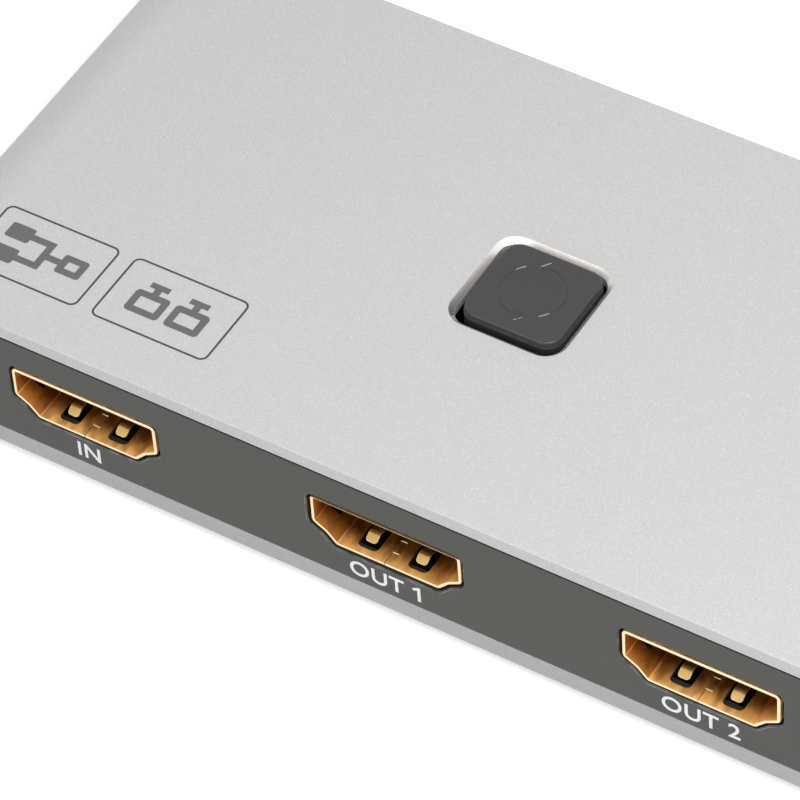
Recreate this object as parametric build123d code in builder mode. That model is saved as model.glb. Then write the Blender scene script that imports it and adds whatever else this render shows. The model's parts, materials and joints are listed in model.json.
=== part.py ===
from build123d import *
import os

os.makedirs("parts", exist_ok=True)

# The part stands on its feet, its origin under the middle of the case on the surface it rests on.
# The sockets face -Y, the power inlet faces +Y, and +Z is up. Lengths are in millimetres.

# Case sleeve
case_length = 104.5
case_depth = 49.6
case_height = 15.5
side_radius = 6.8
top_wall = 1.38
bottom_wall = 1.95
side_wall = 1.6
end_edge_break = 0.1
roundest_corner = 0.49

# Feet under the sleeve
foot_diameter = 8.0
foot_thickness = 1.0
foot_edge_radius = 0.3
foot_inset_x = 13.0
foot_inset_y = 8.0

# Panels that close the two open sides of the sleeve
panel_thickness = 1.6
panel_top_gap = 0.22
panel_side_gap = 0.12
panel_seat_gap = 0.03
panel_seam = 0.02
panel_edge_break = 0.1
socket_cutout_gap = 0.29
inlet_cutout_gap = 0.28

# Board rails and screw bosses along the sleeve's inside
rail_reach = 3.2
rail_gap = 0.08
upper_rail_thickness = 0.9
rail_engagement = 1.2
boss_radius = 1.75
boss_inset = 2.7
boss_web = 1.4
boss_height_over_floor = 7.3
boss_slot = 0.9

# Panel screws
screw_radius = 0.95
screw_core_gap = 0.04
screw_length = 7.0
screw_head_radius = 1.9
screw_hole_gap = 0.15
screw_head_sink = 0.08
recess_width = 0.5
recess_span = 1.9
recess_depth = 0.6

# Circuit board
board_thickness = 1.6
board_clearance = 1.35
board_panel_gap = 0.3
board_corner_radius = 0.8
leg_slot_gap = 0.12

# Video sockets
socket_pitch = 30.0
socket_standoff = 0.41
shell_width = 14.64
shell_height = 5.24
shell_wall = 0.3
shell_depth = 11.0
shoulder_height = 1.92
shoulder_run = 1.3
shoulder_drop = 0.8
base_width = 10.0
shell_corner_radius = 0.52
shell_lip_break = 0.07
flush_setback = 0.05
middle_setback = 0.2

# Spring fingers, side windows and folded seam of a socket shell
finger_spacing = 4.9
finger_width = 1.1
finger_thickness = 0.25
finger_window_width = 2.0
finger_window_radius = 0.5
finger_window_start = 0.65
finger_window_length = 6.2
finger_tip_setback = 1.4
finger_peak_setback = 2.2
finger_tip_rise = 0.12
finger_peak_rise = 0.62
finger_root_overlap = 0.5
side_window_start = 2.05
side_window_length = 2.7
side_window_inner = 5.79
side_window_low = 1.07
side_window_high = 2.47
seam_gap = 0.06
seam_offset = -0.3
seam_tab_width = 0.6
seam_tab_flare = 0.12
seam_tab_start = 1.42
seam_tab_end = 2.83
shell_leg_width = 1.5
shell_leg_middle = 8.0
shell_leg_spacing = 3.4
shell_leg_overlap = 0.9
shell_leg_drop = 0.7

# Insulator and contacts of a socket
core_start = 7.6
core_gap = 0.04
tongue_recess = 2.3
tongue_width = 10.4
tongue_thickness = 1.5
tongue_radius = 0.3
tongue_height = 2.97
heel_width = 14.2
heel_depth = 1.0
contact_pitch = 1.0
contact_width = 0.3
contact_thickness = 0.16
contact_proud = 0.03
contact_tip_setback = 0.4
contact_slot_gap = 0.02
contact_heel_gap = 0.1
contact_foot = 0.9
upper_contacts = 10
lower_contacts = 9

# Button cap
button_x = 0.34
button_y = -0.3
button_travel = 0.5
button_hole_x = 0.0
button_hole_y = -0.17
button_hole = 10.4
button_hole_radius = 1.65
button_hole_chamfer = 0.5
cap_gap = 0.45
cap_step = 0.12
cap_face_radius = 1.45
cap_edge_radius = 0.12
cap_rise = 0.62
cap_step_rise = 0.02
cap_skirt_wall = 1.1
cap_skirt_gap = 1.6
cap_boss_radius = 2.9
ring_radius = 2.95
ring_width = 0.16
ring_depth = 0.07
arrow_start = 118.0
arrow_sweep = 163.0
barb_length = 0.95
barb_angle = 36.0

# Push switch under the button
switch_width = 6.2
switch_body_height = 3.3
switch_edge_break = 0.3
switch_cavity_radius = 2.55
switch_cavity_floor = 1.35
switch_cover_thickness = 0.25
switch_cover_hole_gap = 0.12
plunger_radius = 1.7
plunger_gap = 0.03
plunger_flange_radius = 2.35
plunger_height = 9.0
dome_radius = 2.3
dome_height = 0.75
dome_thickness = 0.1
dome_gap = 0.02
dome_edge = 0.3
rivet_spacing = 4.6
rivet_radius = 0.35
rivet_gap = 0.05
rivet_rise = 0.15
terminal_width = 0.7
terminal_thickness = 0.3
terminal_height = 0.7
terminal_reach = 0.35
terminal_spacing = 4.5
terminal_drop = 0.6

# Power inlet
inlet_from_end = 20.0
inlet_width = 9.0
inlet_height = 3.2
inlet_wall = 0.3
inlet_depth = 7.4
inlet_setback = 0.1
inlet_standoff = 0.05
inlet_core_start = 5.2
inlet_core_gap = 0.04
inlet_tongue_width = 6.6
inlet_tongue_thickness = 0.7
inlet_tongue_recess = 0.9
inlet_heel_depth = 0.7
inlet_leg_width = 1.1
inlet_leg_middle = 4.2
inlet_leg_spacing = 3.6
inlet_contact_pitch = 1.0
inlet_contact_count = 6
inlet_contact_width = 0.4
inlet_contact_thickness = 0.12
inlet_contact_foot = 0.7
inlet_contact_tip = 0.3

# Indicator lamps and their light pipes
indicator_spacing = 8.0
indicator_count = 3
pipe_radius = 1.0
pipe_hole_gap = 0.02
pipe_level_over_board = 3.6
pipe_setback = 0.05
pipe_bend = 1.6
pipe_collar_radius = 1.5
pipe_collar_thickness = 0.8
pipe_lamp_gap = 0.3
lamp_from_back = 7.0
lamp_length = 2.0
lamp_width = 1.25
lamp_height = 0.5
lamp_lens_height = 0.3
lamp_lens_inset = 0.25

# Splitter chip with its pad and heat sink
chip_from_socket = 6.0
chip_from_surge = 10.1
chip_size = 10.0
chip_height = 1.4
chip_standoff = 0.1
chip_edge_break = 0.2
chip_pitch = 0.5
chip_leads_per_side = 16
chip_lead_width = 0.22
pad_size = 9.0
pad_thickness = 0.5
sink_size = 13.0
sink_base = 1.2
sink_height = 4.6
sink_fins = 6
sink_fin_thickness = 0.9

# Leads shared by the chips
lead_thickness = 0.15
lead_shoulder = 0.3
lead_fall = 0.2
lead_foot = 0.5

# Controller chip
controller_from_socket = 13.0
controller_from_surge = 6.1
controller_length = 6.5
controller_width = 4.4
controller_height = 1.0
controller_pitch = 0.65
controller_leads_per_side = 10
controller_lead_width = 0.25

# Memory chips, one for each output
memory_length = 4.9
memory_width = 3.9
memory_height = 1.5
memory_pitch = 1.27
memory_leads_per_side = 4
memory_lead_width = 0.4
memory_from_socket = 6.2
memory_shift = 9.0

# Voltage regulator beside the power inlet
regulator_from_inlet = 10.25
regulator_from_back = 13.8
regulator_length = 6.5
regulator_width = 3.5
regulator_height = 1.6
regulator_pitch = 2.3
regulator_lead_count = 3
regulator_lead_width = 0.75
regulator_tab_width = 3.0

# Inductor, can capacitors and clock crystal
inductor_from_inlet = 11.25
inductor_from_back = 13.8
inductor_size = 5.0
inductor_height = 2.6
inductor_corner = 1.2
inductor_pad_thickness = 0.15
inductor_pad_width = 1.4
can_radius = 2.5
can_height = 5.3
can_groove_level = 1.3
can_groove_depth = 0.2
can_spacing = 6.2
cans_from_inlet = 11.5
cans_from_back = 6.8
can_base_size = 5.3
can_base_height = 0.6
can_base_corner = 1.2
can_edge_radius = 0.3
crystal_from_chip = 16.0
crystal_shift = 2.0
crystal_length = 10.8
crystal_width = 4.4
crystal_height = 3.4
crystal_rim = 0.4
crystal_rim_thickness = 0.4
crystal_edge_radius = 0.4

# Small parts on the board
surge_length = 2.9
surge_width = 1.4
surge_height = 0.9
surge_spacing = 5.0
surge_from_socket = 2.2
ceramic_length = 1.6
ceramic_width = 0.8
ceramic_height = 0.8
ceramic_end = 0.3
ceramic_spacing = 4.0
ceramics_per_side = 4
ceramic_from_chip = 8.4
resistor_length = 1.6
resistor_width = 0.8
resistor_height = 0.45
resistor_spacing = 3.0
resistors_per_side = 3
resistor_from_controller = 5.2
small_part_waist = 0.04

# Levels worked out from the sizes above
case_front = -case_depth / 2
case_back = case_depth / 2
case_bottom = foot_thickness
case_top = case_bottom + case_height
floor_level = case_bottom + bottom_wall
roof_level = case_top - top_wall
board_bottom = floor_level + board_clearance
board_top = board_bottom + board_thickness
shell_base = board_top + socket_standoff
cavity_length = case_length - 2 * side_wall
cavity_height = roof_level - floor_level
cavity_middle = (roof_level + floor_level) / 2
case_corner = min(side_radius, roundest_corner * case_height)
cavity_corner = min(case_corner - side_wall, roundest_corner * cavity_height)
board_length = cavity_length - 2 * (rail_reach - rail_engagement)
board_front = case_front + panel_thickness + board_panel_gap
board_depth = -2 * board_front
boss_x = cavity_length / 2 - boss_inset
boss_level = floor_level + boss_height_over_floor

# Name, centre and setback behind the panel's face of each video socket
sockets = [
    ("in_socket", -socket_pitch, flush_setback),
    ("out_1_socket", 0.0, middle_setback),
    ("out_2_socket", socket_pitch, flush_setback),
]


def facing_front(y):
    """A sketch plane across the part at the given y, with local x along +X and local y up."""
    return Plane.XZ.offset(-y)


def across(x):
    """A sketch plane along the part at the given x, with local x along +Y and local y up."""
    return Plane.YZ.offset(x)


def steps_about_middle(count, pitch):
    """The offsets of a row of evenly spaced things from the row's middle."""
    return [(step - (count - 1) / 2) * pitch for step in range(count)]


def save(builder, name):
    """Label a finished piece and write it as its own STEP file."""
    builder.part.label = name
    export_step(builder.part, f"parts/{name}.step")


# Case sleeve: the tube, its board rails and screw bosses, and the chamfered hole for the button
with BuildPart() as case_sleeve:
    with BuildSketch(facing_front(case_front)):
        with Locations((0, (case_bottom + case_top) / 2)):
            RectangleRounded(case_length, case_height, case_corner)
    extrude(amount=-case_depth)
    end_faces = case_sleeve.faces().filter_by(Axis.Y)
    chamfer(end_faces.edges(), end_edge_break)
    with BuildSketch(facing_front(case_front)):
        with Locations((0, cavity_middle)):
            RectangleRounded(cavity_length, cavity_height, cavity_corner)
    extrude(amount=-case_depth, mode=Mode.SUBTRACT)
    rail_length = case_depth - 2 * (panel_thickness + panel_seam)
    lower_rail = board_bottom - rail_gap - floor_level
    rail_start = case_front + panel_thickness + panel_seam
    for side in (-1, 1):
        wall_x = side * (cavity_length + side_wall) / 2
        rail_x = side * (cavity_length / 2 - rail_reach)
        with BuildSketch(facing_front(rail_start)):
            with Locations(((wall_x + rail_x) / 2, floor_level + lower_rail / 2)):
                Rectangle(abs(wall_x - rail_x), lower_rail)
            with Locations(((wall_x + rail_x) / 2, board_top + rail_gap + upper_rail_thickness / 2)):
                Rectangle(abs(wall_x - rail_x), upper_rail_thickness)
            with Locations((side * boss_x, boss_level)):
                Circle(boss_radius)
            with Locations(((wall_x + side * boss_x) / 2, boss_level)):
                Rectangle(abs(wall_x - side * boss_x), boss_web)
            with Locations((side * boss_x, boss_level)):
                Circle(screw_radius + screw_core_gap, mode=Mode.SUBTRACT)
            with Locations((side * (boss_x - boss_radius / 2), boss_level)):
                Rectangle(boss_radius, boss_slot, mode=Mode.SUBTRACT)
            with Locations((0, (case_bottom + case_top) / 2)):
                RectangleRounded(case_length - side_wall, case_height - side_wall,
                                 case_corner - side_wall / 2, mode=Mode.INTERSECT)
        extrude(amount=-rail_length)
    with BuildSketch(Plane.XY.offset(case_top)):
        with Locations((button_hole_x, button_hole_y)):
            RectangleRounded(button_hole, button_hole, button_hole_radius)
    extrude(amount=-2 * top_wall, mode=Mode.SUBTRACT)
    rim = case_sleeve.edges().filter_by_position(Axis.Z, case_top, case_top)
    rim = rim.filter_by_position(Axis.X, button_hole_x - button_hole, button_hole_x + button_hole)
    rim = rim.filter_by_position(Axis.Y, button_hole_y - button_hole, button_hole_y + button_hole)
    chamfer(rim, button_hole_chamfer)
save(case_sleeve, "case_sleeve")


# Feet: four rubber discs under the flat of the sleeve
with BuildPart() as rubber_feet:
    with BuildSketch():
        with GridLocations(case_length - 2 * foot_inset_x, case_depth - 2 * foot_inset_y, 2, 2):
            Circle(foot_diameter / 2)
    extrude(amount=foot_thickness)
    fillet(rubber_feet.edges().group_by(Axis.Z)[0], foot_edge_radius)
save(rubber_feet, "rubber_feet")


def socket_outline(growth):
    """A video socket's section with its wide side up, its origin at the middle of its base."""
    half = shell_width / 2
    corners = [
        (half, shell_height),
        (half, shoulder_height),
        (half - shoulder_run, shoulder_height - shoulder_drop),
        (base_width / 2, 0),
    ]
    mirrored = [(-x, z) for x, z in reversed(corners)]
    with BuildSketch() as outline:
        with BuildLine():
            FilletPolyline(*corners, *mirrored, radius=shell_corner_radius, close=True)
        make_face()
        if growth:
            offset(amount=growth)
    return outline.sketch


shell_section = socket_outline(0)
shell_cavity = socket_outline(-shell_wall)
core_section = socket_outline(-shell_wall - core_gap)
panel_cutout = socket_outline(socket_cutout_gap)

inlet_x = case_length / 2 - inlet_from_end
inlet_level = board_top + inlet_standoff + inlet_height / 2
pipe_level = board_top + pipe_level_over_board
panel_length = cavity_length - 2 * panel_side_gap
panel_height = cavity_height - panel_top_gap - panel_seat_gap
panel_middle = floor_level + panel_seat_gap + panel_height / 2
panel_corner = cavity_corner - panel_side_gap


def panel_blank(outer_face):
    """A panel's plate with its outer face at the given y, and its countersunk screw holes."""
    outward = 1 if outer_face > 0 else -1
    plane = Plane(origin=(0, outer_face, 0), x_dir=(-outward, 0, 0), z_dir=(0, outward, 0))
    with BuildPart() as blank:
        with BuildSketch(plane):
            with Locations((0, panel_middle)):
                RectangleRounded(panel_length, panel_height, panel_corner)
        extrude(amount=-panel_thickness)
        with Locations(plane):
            with Locations((-boss_x, boss_level), (boss_x, boss_level)):
                CounterSinkHole(screw_radius + screw_hole_gap, screw_head_radius + screw_hole_gap,
                                counter_sink_angle=90)
    return blank.part


socket_blank = panel_blank(case_front)
power_blank = panel_blank(case_back)

# Socket panel: the dark plate round the three video sockets
with BuildPart() as socket_panel:
    add(socket_blank)
    with BuildSketch(facing_front(case_front)):
        with Locations(*[(x, shell_base) for name, x, setback in sockets]):
            add(panel_cutout)
    extrude(amount=-panel_thickness, mode=Mode.SUBTRACT)
    outer_edges = socket_panel.edges().filter_by_position(Axis.Y, case_front, case_front)
    chamfer(outer_edges.filter_by(lambda edge: abs(edge.center().X) < socket_pitch + shell_width),
            panel_edge_break)
save(socket_panel, "socket_panel")


# Power panel: the plate on the far side, with the inlet's slot and the light pipes' holes
with BuildPart() as power_panel:
    add(power_blank)
    with BuildSketch(facing_front(case_back)):
        with Locations((inlet_x, inlet_level)):
            SlotOverall(inlet_width + 2 * inlet_cutout_gap, inlet_height + 2 * inlet_cutout_gap)
        with Locations((0, pipe_level)):
            with GridLocations(indicator_spacing, 0, indicator_count, 1):
                Circle(pipe_radius + pipe_hole_gap)
    extrude(amount=panel_thickness, mode=Mode.SUBTRACT)
save(power_panel, "power_panel")


def panel_screws(outer_face, name):
    """The two countersunk cross-recess screws of one panel."""
    outward = 1 if outer_face > 0 else -1
    sunk_face = outer_face - outward * screw_head_sink
    plane = Plane(origin=(0, sunk_face, 0), x_dir=(-outward, 0, 0), z_dir=(0, outward, 0))
    spots = [(-boss_x, boss_level), (boss_x, boss_level)]
    with BuildPart() as screws:
        with BuildSketch(plane):
            with Locations(*spots):
                Circle(screw_head_radius)
        extrude(amount=-(screw_head_radius - screw_radius), taper=45)
        with BuildSketch(plane):
            with Locations(*spots):
                Circle(screw_radius)
        extrude(amount=-screw_length)
        with BuildSketch(plane):
            with Locations(*spots):
                Rectangle(recess_span, recess_width)
                Rectangle(recess_width, recess_span)
        extrude(amount=-recess_depth, mode=Mode.SUBTRACT)
    save(screws, name)


panel_screws(case_front, "socket_panel_screws")
panel_screws(case_back, "power_panel_screws")


def socket_shell(name, x, setback):
    """The folded shell: its tube, spring fingers, side windows, dovetailed seam and board legs."""
    front = case_front + setback
    middle = shell_base + shell_height / 2
    with BuildPart() as shell:
        with BuildSketch(facing_front(front)):
            with Locations((x, shell_base)):
                add(shell_section)
        extrude(amount=-shell_depth)
        with BuildSketch(facing_front(front)):
            with Locations((x, shell_base)):
                add(shell_cavity)
        extrude(amount=-shell_depth, mode=Mode.SUBTRACT)
        front_face = shell.faces().sort_by(Axis.Y)[0]
        chamfer(front_face.inner_wires()[0].edges(), shell_lip_break)

        window_middle = front + finger_window_start + finger_window_length / 2
        with BuildSketch(Plane.XY.offset(middle)):
            with Locations((x, window_middle)):
                with GridLocations(finger_spacing, 0, 2, 1):
                    RectangleRounded(finger_window_width, finger_window_length,
                                     finger_window_radius)
        extrude(amount=shell_height, both=True, mode=Mode.SUBTRACT)
        finger_planes = [
            across(x + shift - finger_width / 2) for shift in steps_about_middle(2, finger_spacing)
        ]
        window_end = front + finger_window_start + finger_window_length
        for inward in (-1, 1):
            sheet = middle - inward * (shell_height - shell_wall) / 2
            with BuildSketch(*finger_planes):
                with BuildLine():
                    FilletPolyline(
                        (window_end + finger_root_overlap, sheet),
                        (window_end, sheet),
                        (front + finger_peak_setback, sheet + inward * finger_peak_rise),
                        (front + finger_tip_setback, sheet + inward * finger_tip_rise),
                        radius=finger_thickness,
                    )
                trace(line_width=finger_thickness)
            extrude(amount=finger_width)

        window_width = shell_width / 2 + shell_wall - side_window_inner
        window_x = side_window_inner + window_width / 2
        window_level = shell_base + (side_window_low + side_window_high) / 2
        with BuildSketch(facing_front(front + side_window_start)):
            with Locations((x - window_x, window_level), (x + window_x, window_level)):
                Rectangle(window_width, side_window_high - side_window_low)
        extrude(amount=-side_window_length, mode=Mode.SUBTRACT)

        seam = x + seam_offset
        tab = seam + seam_tab_width
        with BuildSketch(Plane.XY.offset(shell_base)):
            with BuildLine():
                Polyline(
                    (seam, front - seam_gap),
                    (seam, front + seam_tab_start + seam_tab_flare),
                    (tab, front + seam_tab_start),
                    (tab, front + seam_tab_end),
                    (seam, front + seam_tab_end - seam_tab_flare),
                    (seam, front + shell_depth + seam_gap),
                )
            trace(line_width=seam_gap)
        extrude(amount=2 * shell_wall, both=True, mode=Mode.SUBTRACT)

        leg_bottom = board_bottom - shell_leg_drop
        leg_top = shell_base + shoulder_height + shell_leg_overlap
        with BuildSketch(Plane.XY.offset(leg_bottom)):
            with Locations((x, front + shell_leg_middle)):
                with GridLocations(shell_width - shell_wall, shell_leg_spacing, 2, 2):
                    Rectangle(shell_wall, shell_leg_width)
        extrude(amount=leg_top - leg_bottom)
    save(shell, f"{name}_shell")


tongue_level = shell_base + tongue_height
contact_offset = tongue_thickness / 2 + contact_proud - contact_thickness / 2
contact_rows = [
    (tongue_level + contact_offset, upper_contacts),
    (tongue_level - contact_offset, lower_contacts),
]


def socket_insulator(name, x, setback):
    """The insulator: its tongue, its core in the shell and its heel on the board."""
    front = case_front + setback
    heel_start = front + shell_depth + core_gap
    heel_height = shell_base + shell_height - board_top
    with BuildPart() as insulator:
        with BuildSketch(facing_front(front + core_start)):
            with Locations((x, shell_base)):
                add(core_section)
        extrude(amount=-(heel_start - front - core_start))
        with BuildSketch(facing_front(front + tongue_recess)):
            with Locations((x, tongue_level)):
                RectangleRounded(tongue_width, tongue_thickness, tongue_radius)
        extrude(amount=-(core_start - tongue_recess))
        with BuildSketch(facing_front(heel_start)):
            with Locations((x, board_top + heel_height / 2)):
                Rectangle(heel_width, heel_height)
        extrude(amount=-heel_depth)
        slot_start = front + tongue_recess + contact_tip_setback - contact_slot_gap
        slot_length = heel_start + heel_depth - slot_start
        for level, count in contact_rows:
            with BuildSketch(facing_front(slot_start)):
                with Locations((x, level)):
                    with GridLocations(contact_pitch, 0, count, 1):
                        Rectangle(contact_width + 2 * contact_slot_gap,
                                  contact_thickness + 2 * contact_slot_gap)
            extrude(amount=-slot_length, mode=Mode.SUBTRACT)
    save(insulator, f"{name}_insulator")


def socket_contacts(name, x, setback):
    """The contacts: two rows of strips that run along the tongue and down to the board."""
    front = case_front + setback
    tip = front + tongue_recess + contact_tip_setback
    drop = front + shell_depth + core_gap + heel_depth + contact_heel_gap + contact_thickness / 2
    foot_level = board_top + contact_thickness / 2
    with BuildPart() as contacts:
        for level, count in contact_rows:
            planes = [
                across(x + shift - contact_width / 2)
                for shift in steps_about_middle(count, contact_pitch)
            ]
            with BuildSketch(*planes):
                with BuildLine():
                    Polyline(
                        (tip, level),
                        (drop, level),
                        (drop, foot_level),
                        (drop + contact_foot, foot_level),
                    )
                trace(line_width=contact_thickness)
            extrude(amount=contact_width)
    save(contacts, f"{name}_contacts")


for name, x, setback in sockets:
    socket_shell(name, x, setback)
    socket_insulator(name, x, setback)
    socket_contacts(name, x, setback)


# Button cap: a hollow square cap with a stepped edge and an engraved ring of two arrows
cap_body = button_hole - 2 * cap_gap
cap_face = cap_body - 2 * cap_step
cap_top = case_top + cap_rise
cap_step_level = case_top + cap_step_rise
cap_bottom = board_top + switch_body_height + switch_cover_thickness + button_travel + cap_skirt_gap
plunger_top = board_top + plunger_height
cover_level = board_top + switch_body_height
well_floor = board_top + switch_cavity_floor
flange_base = well_floor + dome_height + dome_gap
arrow_tip = Vector(ring_radius, 0).rotate(Axis.Z, arrow_start + arrow_sweep)
arrow_back = Vector(0, -barb_length).rotate(Axis.Z, arrow_start + arrow_sweep)
with BuildSketch() as arrow:
    with BuildLine():
        CenterArc((0, 0), ring_radius, arrow_start, arrow_sweep)
    trace(line_width=ring_width)
    with BuildLine():
        Polyline(
            arrow_tip + arrow_back.rotate(Axis.Z, barb_angle),
            arrow_tip,
            arrow_tip + arrow_back.rotate(Axis.Z, -barb_angle),
        )
    trace(line_width=ring_width)
arrow_outline = arrow.sketch
with BuildPart() as select_button:
    with BuildSketch(Plane.XY.offset(cap_bottom)):
        with Locations((button_x, button_y)):
            RectangleRounded(cap_body, cap_body, cap_face_radius + cap_step)
    extrude(amount=cap_step_level - cap_bottom)
    with BuildSketch(Plane.XY.offset(cap_step_level)):
        with Locations((button_x, button_y)):
            RectangleRounded(cap_face, cap_face, cap_face_radius)
    extrude(amount=cap_top - cap_step_level)
    fillet(select_button.faces().sort_by(Axis.Z)[-1].edges(), cap_edge_radius)
    with BuildSketch(Plane.XY.offset(cap_bottom)):
        with Locations((button_x, button_y)):
            Rectangle(cap_body - 2 * cap_skirt_wall, cap_body - 2 * cap_skirt_wall)
            Circle(cap_boss_radius, mode=Mode.SUBTRACT)
            Circle(plunger_radius + plunger_gap)
    extrude(amount=plunger_top - cap_bottom, mode=Mode.SUBTRACT)
    with BuildSketch(Plane.XY.offset(cap_top)):
        with Locations((button_x, button_y)):
            with PolarLocations(0, 2):
                add(arrow_outline)
    extrude(amount=-ring_depth, mode=Mode.SUBTRACT)
save(select_button, "select_button")


# Push switch: a housing with a round well, a steel cover, a plunger, a snap dome and terminals
with BuildPart() as switch_housing:
    with BuildSketch(Plane.XY.offset(board_top)):
        with Locations((button_x, button_y)):
            Rectangle(switch_width, switch_width)
    extrude(amount=switch_body_height)
    chamfer(switch_housing.edges().filter_by(Axis.Z), switch_edge_break)
    with BuildSketch(Plane.XY.offset(cover_level)):
        with Locations((button_x, button_y)):
            with GridLocations(rivet_spacing, rivet_spacing, 2, 2):
                Circle(rivet_radius)
    extrude(amount=switch_cover_thickness + rivet_rise)
    with BuildSketch(Plane.XY.offset(cover_level)):
        with Locations((button_x, button_y)):
            Circle(switch_cavity_radius)
    extrude(amount=well_floor - cover_level, mode=Mode.SUBTRACT)
save(switch_housing, "switch_housing")

with BuildPart() as switch_cover:
    with BuildSketch(Plane.XY.offset(cover_level)):
        with Locations((button_x, button_y)):
            RectangleRounded(switch_width, switch_width, switch_edge_break)
            Circle(plunger_radius + switch_cover_hole_gap, mode=Mode.SUBTRACT)
            with GridLocations(rivet_spacing, rivet_spacing, 2, 2):
                Circle(rivet_radius + rivet_gap, mode=Mode.SUBTRACT)
    extrude(amount=switch_cover_thickness)
save(switch_cover, "switch_cover")

with BuildPart() as switch_plunger:
    with BuildSketch(Plane.XY.offset(flange_base)):
        with Locations((button_x, button_y)):
            Circle(plunger_flange_radius)
    extrude(amount=cover_level - dome_gap - flange_base)
    with BuildSketch(Plane.XY.offset(cover_level - dome_gap)):
        with Locations((button_x, button_y)):
            Circle(plunger_radius)
    extrude(amount=plunger_top - cover_level + dome_gap)
save(switch_plunger, "switch_plunger")

dome_plane = Plane(origin=(button_x, button_y, well_floor), x_dir=(1, 0, 0), z_dir=(0, -1, 0))
with BuildPart() as switch_dome:
    with BuildSketch(dome_plane):
        with BuildLine():
            TangentArc((0, dome_height), (dome_radius, 0), tangent=(1, 0))
            Line((dome_radius, 0), (dome_radius - dome_edge, 0))
            inside = TangentArc((0, dome_height - dome_thickness), (dome_radius - dome_edge, 0),
                                tangent=(1, 0))
            Line(inside @ 0, (0, dome_height))
        make_face()
    revolve(axis=Axis((button_x, button_y, 0), (0, 0, 1)))
save(switch_dome, "switch_dome")

terminal_x = switch_width / 2 + terminal_reach
terminal_planes = [
    facing_front(button_y + side * terminal_spacing / 2 - terminal_width / 2) for side in (-1, 1)
]
with BuildPart() as switch_terminals:
    for side in (-1, 1):
        with BuildSketch(*terminal_planes):
            with BuildLine():
                Polyline(
                    (button_x + side * switch_width / 2, board_top + terminal_height),
                    (button_x + side * terminal_x, board_top + terminal_height),
                    (button_x + side * terminal_x, board_bottom - terminal_drop),
                )
            trace(line_width=terminal_thickness)
        extrude(amount=-terminal_width)
save(switch_terminals, "switch_terminals")


# Power inlet: an oblong shell with its legs, an insulator with a tongue, and its contacts
inlet_front = case_back - inlet_setback
inlet_leg_y = inlet_front - inlet_leg_middle
with BuildPart() as power_inlet_shell:
    with BuildSketch(facing_front(inlet_front)):
        with Locations((inlet_x, inlet_level)):
            SlotOverall(inlet_width, inlet_height)
    extrude(amount=inlet_depth)
    with BuildSketch(Plane.XY.offset(board_bottom - shell_leg_drop)):
        with Locations((inlet_x, inlet_leg_y)):
            with GridLocations(inlet_width - inlet_wall, inlet_leg_spacing, 2, 2):
                Rectangle(inlet_wall, inlet_leg_width)
    extrude(amount=inlet_level - board_bottom + shell_leg_drop)
    with BuildSketch(facing_front(inlet_front)):
        with Locations((inlet_x, inlet_level)):
            SlotOverall(inlet_width - 2 * inlet_wall, inlet_height - 2 * inlet_wall)
    extrude(amount=inlet_depth, mode=Mode.SUBTRACT)
save(power_inlet_shell, "power_inlet_shell")

inlet_heel = inlet_front - inlet_depth - inlet_core_gap
inlet_core_shrink = 2 * (inlet_wall + inlet_core_gap)
inlet_strip_level = inlet_level + inlet_tongue_thickness / 2 - inlet_contact_thickness / 2 + contact_proud
with BuildPart() as power_inlet_insulator:
    with BuildSketch(facing_front(inlet_front - inlet_core_start)):
        with Locations((inlet_x, inlet_level)):
            SlotOverall(inlet_width - inlet_core_shrink, inlet_height - inlet_core_shrink)
    extrude(amount=inlet_front - inlet_core_start - inlet_heel)
    with BuildSketch(facing_front(inlet_front - inlet_tongue_recess)):
        with Locations((inlet_x, inlet_level)):
            Rectangle(inlet_tongue_width, inlet_tongue_thickness)
    extrude(amount=inlet_core_start - inlet_tongue_recess)
    with BuildSketch(facing_front(inlet_heel)):
        with Locations((inlet_x, (board_top + inlet_level + inlet_height / 2) / 2)):
            Rectangle(inlet_width - inlet_height, inlet_height + inlet_standoff)
    extrude(amount=inlet_heel_depth)
    inlet_slot_start = inlet_front - inlet_tongue_recess - inlet_contact_tip + contact_slot_gap
    with BuildSketch(facing_front(inlet_slot_start)):
        with Locations((inlet_x, inlet_strip_level)):
            with GridLocations(inlet_contact_pitch, 0, inlet_contact_count, 1):
                Rectangle(inlet_contact_width + 2 * contact_slot_gap,
                          inlet_contact_thickness + 2 * contact_slot_gap)
    extrude(amount=inlet_slot_start - inlet_heel + inlet_heel_depth, mode=Mode.SUBTRACT)
save(power_inlet_insulator, "power_inlet_insulator")

inlet_drop = inlet_heel - inlet_heel_depth - contact_heel_gap - inlet_contact_thickness / 2
inlet_planes = [
    across(inlet_x + shift - inlet_contact_width / 2)
    for shift in steps_about_middle(inlet_contact_count, inlet_contact_pitch)
]
with BuildPart() as power_inlet_contacts:
    with BuildSketch(*inlet_planes):
        with BuildLine():
            Polyline(
                (inlet_front - inlet_tongue_recess - inlet_contact_tip, inlet_strip_level),
                (inlet_drop, inlet_strip_level),
                (inlet_drop, board_top + inlet_contact_thickness / 2),
                (inlet_drop - inlet_contact_foot, board_top + inlet_contact_thickness / 2),
            )
        trace(line_width=inlet_contact_thickness)
    extrude(amount=inlet_contact_width)
save(power_inlet_contacts, "power_inlet_contacts")


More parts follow.
